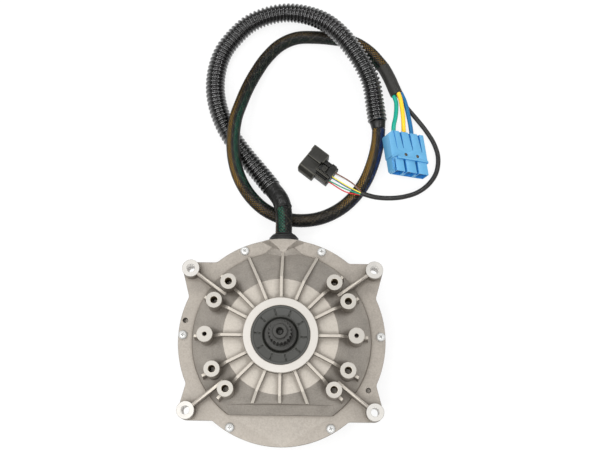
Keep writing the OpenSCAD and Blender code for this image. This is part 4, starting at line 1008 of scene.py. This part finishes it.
# %% Machined faces
BOSS_RING, EAR_RING, SCREW_RING = 70, 111.5, 95.4
FRAME_BOSSES = round_about(BOSS_RING, (27, 45, 135, 153, 207, 225, 315, 333))
SIDE_BOSSES = round_about(BOSS_RING, (0, 180))
EARS = round_about(EAR_RING, (37.26, 142.74, 217.26, 322.74))
BOSS_RIM = [(7.43, 88.9), (7.43, 89.75), (7.15, 90.04)]
for name, places, finish, sides, profile in (
        ("boss_faces", FRAME_BOSSES, sawn, 40,
         BOSS_RIM + [(3.95, 90.04), (3.36, 89.5), (3.36, 88.9)]),
        ("side_boss_faces", SIDE_BOSSES, sawn, 40,
         BOSS_RIM + [(2.5, 90.04), (2.06, 89.6), (2.06, 88.9)]),
        ("ear_faces", EARS, polished, 48,
         [(8.42, 57.9), (8.42, 58.95), (8.15, 59.24), (4.2, 59.24), (3.98, 59.0),
          (3.98, 57.9)]),
        ("ear_bores", EARS, bore_painted_white, 48,
         [(4.6, 36.1), (4.6, 58.95), (3.95, 58.95), (3.95, 36.1)]),
        ("pilot_face", None, machined, 96,
         [(34.78, 87.05), (34.78, 89.6), (34.4, 90.04), (27.95, 90.04), (27.49, 89.55),
          (27.49, 87.05)])):
    face = turned(name, profile, sides, ring=True)
    belongs(patterned(face, places) if places else face, finish, "cast_front")

M8_PITCH, THREAD_TURNS = 1.25, 15
THREAD = [(3.6, 70.4), (3.6, 89.3)]
for k in range(THREAD_TURNS):
    THREAD += [(3.36, 89.2 - M8_PITCH * k), (3.02, 88.6 - M8_PITCH * k)]
threads = patterned(turned("boss_threads", THREAD, 24, ring=True), FRAME_BOSSES)
belongs(threads, thread_steel, "cast_front")
print("machined faces, threads", len(threads.data.polygons))

# %% [markdown]
# Six pan-head screws close the joint flange. A head is turned, and the cross recess
# is cut by two tapered bars with Boolean modifiers. The crosses point anyhow, as
# screws do.

# %% Flange screws
def tapered_bar(name, turn):
    """One bar of a cross recess, narrower at its foot."""
    deselect()
    bpy.ops.mesh.primitive_cube_add(size=1, location=(0, 0, 47.6 * MM))
    bar = bpy.context.object
    bar.name = name
    bar.scale = (4.2 * MM, 1.05 * MM, 2.6 * MM)
    bar.rotation_euler = (0, 0, turn)
    fastened(bar)
    for v in sorted(bar.data.vertices, key=lambda v: v.co.z)[:4]:
        v.co.x *= 0.35
        v.co.y *= 0.35
    return bar


head = turned("pan_screws", [(2.5, 43.2), (2.5, 45.0), (4.3, 45.0), (4.36, 45.5),
                             (4.3, 46.4), (4.05, 47.1), (3.5, 47.7), (2.6, 48.1),
                             (1.3, 48.25)], 40, angle=50)
combined(head, "DIFFERENCE", [tapered_bar("bar_a", 0),
                              tapered_bar("bar_b", math.pi / 2)])
SCREWS = {66.7: 12, 113.3: 58, 2.7: 33, 177.3: 80, -60: 25, -120: 5}  # place: turn
screws = patterned(head, [(x, y, SCREWS[a]) for x, y, a in
                          round_about(SCREW_RING, SCREWS)])
belongs(screws, zinc, "zinc_screw", "flange_screws")
print("screws", len(screws.data.polygons), "faces")

# %% [markdown]
# The oil seal is a moulded rubber ring with a shallow dished face, ten short radial
# notches and a raised bead at the lip. The notches are the faces of ten sectors of
# the dish, pushed in by an extrusion.

# %% Oil seal
NOTCHES, NOTCH_START, NOTCH_WIDE, NOTCH_DEEP = 10, 31, 3, 0.55
seal = turned("seal_face", [(27.46, 82.2), (27.46, 89.1), (27.1, 89.5), (25.4, 89.5),
                            (24.9, 89.15), (24.3, 89.1), (18.5, 88.7), (17.9, 89.0),
                            (17.3, 89.2), (16.6, 88.9), (15.7, 87.0), (15.12, 86.2),
                            (15.6, 85.0), (17.0, 82.2)], 120, ring=True, angle=30)
only(seal)
bpy.ops.object.mode_set(mode="EDIT")
bpy.ops.mesh.select_mode(type="FACE")
bpy.ops.mesh.select_all(action="DESELECT")
bpy.ops.object.mode_set(mode="OBJECT")
for face in seal.data.polygons:
    c = face.center
    r = math.hypot(c.x, c.y) / MM
    a = (math.degrees(math.atan2(c.y, c.x)) - NOTCH_START) % (360 / NOTCHES)
    face.select = 18.6 < r < 24.3 and c.z > 88 * MM and a < NOTCH_WIDE
bpy.ops.object.mode_set(mode="EDIT")
raised(-NOTCH_DEEP)
bpy.ops.mesh.select_mode(type="VERT")
bpy.ops.object.mode_set(mode="OBJECT")
belongs(seal, seal_rubber, "seal_rubber", "oil_seal")
print("seal", len(seal.data.polygons), "faces")

# %% [markdown]
# The grommet's lip is flat, with a short flared neck that the sleeve comes out of.
# Its copy takes the two outer rings of the CAD form to the lip's rounded edge.

# %% Grommet
OUTLET_Z, LIP_R, LIP_Y = 24, 14.6, 106.6
grommet = copied("cable_grommet", "grommet_lip", 40)
for v in grommet.data.vertices:
    x, y, z = v.co.x / MM, v.co.y / MM, v.co.z / MM - OUTLET_Z
    r = math.hypot(x, z)
    if y > 106 and r > 12:
        v.co = (x * LIP_R / r * MM, (LIP_Y - 0.8) * MM, (OUTLET_Z + z * LIP_R / r) * MM)
    elif y > 109:
        v.co.y = LIP_Y * MM
belongs(grommet, black_rubber, "black_rubber", "cable_grommet")
neck = turned("grommet_neck", [(11.2, 106.3), (10.9, 107), (10.2, 108), (9.5, 110.4),
                               (9.0, 110.8), (8.45, 110.6), (8.45, 106.3)], 48,
              ring=True)
neck.rotation_euler, neck.location = (-math.pi / 2, 0, 0), (0, 0, OUTLET_Z * MM)
belongs(fastened(neck), black_rubber, "black_rubber")
print("grommet", len(grommet.data.polygons), len(neck.data.polygons))

# %% [markdown]
# The shaft keeps its CAD form. Its copy is merged, and a Bevel modifier breaks the
# sharp edges of the splines and the collar.

# %% Output shaft
shaft = softened(copied("output_shaft", "shaft_turned", 30), 0.18, angle=35, shade=30)
belongs(shaft, shaft_steel, "shaft_steel", "output_shaft", body="rotor")
print("shaft", len(shaft.data.polygons), "faces")

# %% [markdown]
# The power connector is one light blue moulding. Its rear half has a cut corner and
# four tapering grooves. A raised line marks the waist. The front half carries three
# poles, parted by deep slots, each with a square mouth, and two pins cross it.

# %% Power connector
PIN_X, PIN_Y, SKEW = (-3.7, 9.8), -3.4, 0.12
PLUG_PLACE = at(124.55, 198.65, 15.9) @ spun(7.7, "Z") @ spun(-3, "X") @ spun(24, "Y")


def drilled(name, radius, start, end, sides, place):
    """A round cutter from one height to another, carried to its place."""
    cutter = turned(name, [(radius, start), (radius, end)], sides)
    cutter.data.transform(place)
    return cutter


plug = prism("plug_shell", [(-20.75, -7.2), (20.75, -7.2), (20.75, 22), (-15.2, 22),
                            (-20.75, 17.5)], -7, 7)
combined(plug, "UNION", [
    prism("front", [(-20.1, -20.2), (-18.3, -22), (20.1, -22), (20.1, -6), (-20.1, -6)],
          -6.4, 5.8),
    box("ridge", -14.2, 20.95, -8.9, -6.9, 4, 8.0),
    prism("slant", [(-20.9, -9.6), (-20.9, -7.9), (-14.9, -2.9), (-13.1, -5.4)],
          4, 8.0),
    box("tab", 20.3, 21.5, -9.2, -6.8, -5, 7.2)])
cutters = [prism("groove", [(x - wide / 2, 23), (x + 1.1, end), (x + 1.7, end),
                            (x + wide / 2, 23)], low, 7.6)
           for x, wide, end, low in ((-14.2, 1.3, 2.2, 6.4), (-6.6, 2.8, 3.4, 5.0),
                                     (3.9, 2.8, 2.4, 5.0), (14.6, 2.8, 2.0, 5.0))]
cutters += [box("slot", x - 1.3, x + 1.3, -23, -8.8, 0.6, 8) for x in (-6.0, 7.7)]
cutters += [
    prism("side_slot", [(-18.5, -23), (-17.0, -23), (-16.6, -9.8), (-18.0, -9.2)],
          3.0, 8),
    prism("side_chamfer", [(-24, -23), (-18.9, -23), (-18.9, -9.5), (-24, -9.5)],
          4.6, 8)]
cutters += [box("mouth", x - wide / 2, x + wide / 2, -23, -7.0, -5.4, 5.2)
            for x, wide in ((-12.2, 8.4), (0.9, 9.6), (14.4, 9.6))]
cutters += [drilled("entry", 3.0, 13.5, 23, 32, at(x, 0) @ spun(-90, "X"))
            for x in (-11.5, 0.8, 10.6)]
cutters += [drilled("pin_hole", 1.75, -8, 8, 28, at(x, PIN_Y)) for x in PIN_X]
combined(plug, "DIFFERENCE", cutters)
marked(softened(plug, 0.4), 11.5)
belongs(placed(plug, PLUG_PLACE, SKEW), plug_blue, "plug_blue", "power_connector")

pin = turned("plug_pins", [(1.62, -6.4), (1.62, 6.7), (1.4, 7.0), (0.95, 7.0),
                           (0.8, 6.5), (0.2, 6.45)], 28)
pins = patterned(pin, [(x, PIN_Y, 0) for x in PIN_X])
belongs(placed(pins, PLUG_PLACE, SKEW), old_brass, "pin_metal", "power_connector_pins")
print("plug", len(plug.data.polygons), "faces, pins", len(pins.data.polygons))

# %% [markdown]
# The sensor connector is a shroud in two heights with a narrower rear body. Rails
# guard a lock lever in the middle, and a low wall closes the corner beside it.

# %% Sensor connector
SENSE_PLACE = at(48.6, 175.6) @ spun(-38, "Z")
shroud = prism("sensor_shell", [(-35, -13.4), (-33.6, -15), (-15.5, -15), (-15.5, 15),
                                (-35, 15)], 0, 12.0)
bank = box("bank", -36, -14.9, -2, 8, 0, 10)
bank.data.transform(at(0, -15.6, 7.0) @ spun(44, "X"))
softened(combined(shroud, "DIFFERENCE", [bank]), 0.8)
blocks = [(box("raised", -34.2, -15.5, 1.6, 15, 4, 16.4), 0.8),
          (box("notch", -35, -33, 8.8, 15, 4, 15.2), 0.5),
          (box("body", -17, 0, -10.75, 10.75, 1.2, 9.8), 0.5),
          (box("rail_low", -16, -1.2, -10.75, -8.6, 6, 13.2), 0.6),
          (box("rail_mid", -18, -1.2, -5.6, -3.4, 6, 14.6), 0.6),
          (box("rail_far", -16.5, -7.5, 5.2, 6.8, 6, 14.4), 0.4),
          (prism("wall", [(-7.5, -0.8), (0, -3.2), (0, 8.4), (-2.4, 10.75),
                          (-7.5, 10.75)], 6, 13.6), 0.5),
          (box("step", -33, -15.5, -15.4, -14.0, 1, 6.8), 0.3)]
combined(shroud, "UNION", [softened(block, width) for block, width in blocks])
mouth = box("mouth", -36, -27, -10.6, 13.2, 1.8, 9.8)
inner = box("inner", -37, -26, -9.0, 11.4, 3.4, 8.2)
combined(mouth, "DIFFERENCE", [inner])
cutters = [mouth, box("pocket", -17.5, -13.2, -0.6, 4.4, 8.6, 17),
           box("wire_seal", -2.4, 1, -8.75, 8.75, 3.2, 12.2)]
cutters += [drilled("terminal", 1.1, -36, -29, 20, at(0, y, 6.3 + z) @ spun(90, "Y"))
            for z in (-2.2, 2.2) for y in (-4.4, 0, 4.4)]
combined(shroud, "DIFFERENCE", cutters)
marked(softened(shroud, 0.2, angle=50))
# Painted shade: the far block beside the lock lever is marked low, so it takes the
# near-black shaded tone.
painted_light = shroud.data.attributes["painted_light"].data
for face in shroud.data.polygons:
    c = face.center / MM
    if c.x > -14 and c.y > 4.8 and c.z > 9:
        painted_light[face.index].value = 0.1
belongs(placed(shroud, SENSE_PLACE), connector_black, "connector_black",
        "sensor_connector")
lever = box("lock_lever", -16.8, -5.4, -2.6, 4.4, 12.0, 13.2)
catch = box("catch", -13.0, -8.4, -1.8, 3.6, 12.6, 15.2)
gap = box("gap", -8.0, -6.4, -1.6, 3.4, 11, 16)
combined(combined(lever, "UNION", [catch]), "DIFFERENCE", [gap])
marked(softened(lever, 0.3))
belongs(placed(lever, SENSE_PLACE), connector_black, "connector_black", "sensor_lock")
print("sensor connector", len(shroud.data.polygons), len(lever.data.polygons))

# %% [markdown]
# Nodes whose CAD shape is already right keep their mesh and only get a finish:
# the bearings, the wound stator, the rotor and the other pieces inside.

# %% Finishes of the CAD nodes
copper = mottled("copper_wire", (190, 104, 52), 0.75, 400, 0.3, metal=0.9,
                 depth=0.00002)
ivory = mottled("insulator", (224, 218, 196), 0.92, 120, 0.5)
green_board = mottled("board", (28, 96, 58), 0.85, 250, 0.35)
laminated = mottled("lamination", (128, 130, 134), 0.85, 90, 0.42, metal=0.8)
brass = mottled("cage_brass", (190, 164, 96), 0.88, 200, 0.35, metal=0.9)
nickel = mottled("magnet", (150, 150, 154), 0.85, 150, 0.35, metal=0.8)
tin = mottled("contact_tin", (206, 206, 204), 0.85, 500, 0.3, metal=0.9)
for finish, names in (
        (black_rubber, ("joint_ring", "sensor_wire_seal")),
        (bright_steel, ("seal_spring", "bearing_washer", "front_bearing_outer_race",
                        "front_bearing_balls", "front_bearing_inner_race",
                        "rear_bearing_outer_race", "rear_bearing_balls",
                        "rear_bearing_inner_race")),
        (dark_steel, ("rotor_hub", "rotor_key", "rotor_clip", "front_bearing_clip")),
        (brass, ("front_bearing_cage", "rear_bearing_cage")),
        (laminated, ("stator_core",)), (copper, ("stator_windings",)),
        (ivory, ("winding_insulators",)), (green_board, ("sensor_board",)),
        (nickel, ("rotor_magnets",)), (tin, ("power_contacts",))):
    for name in names:
        dress(nodes[name], finish)
print("CAD nodes dressed")
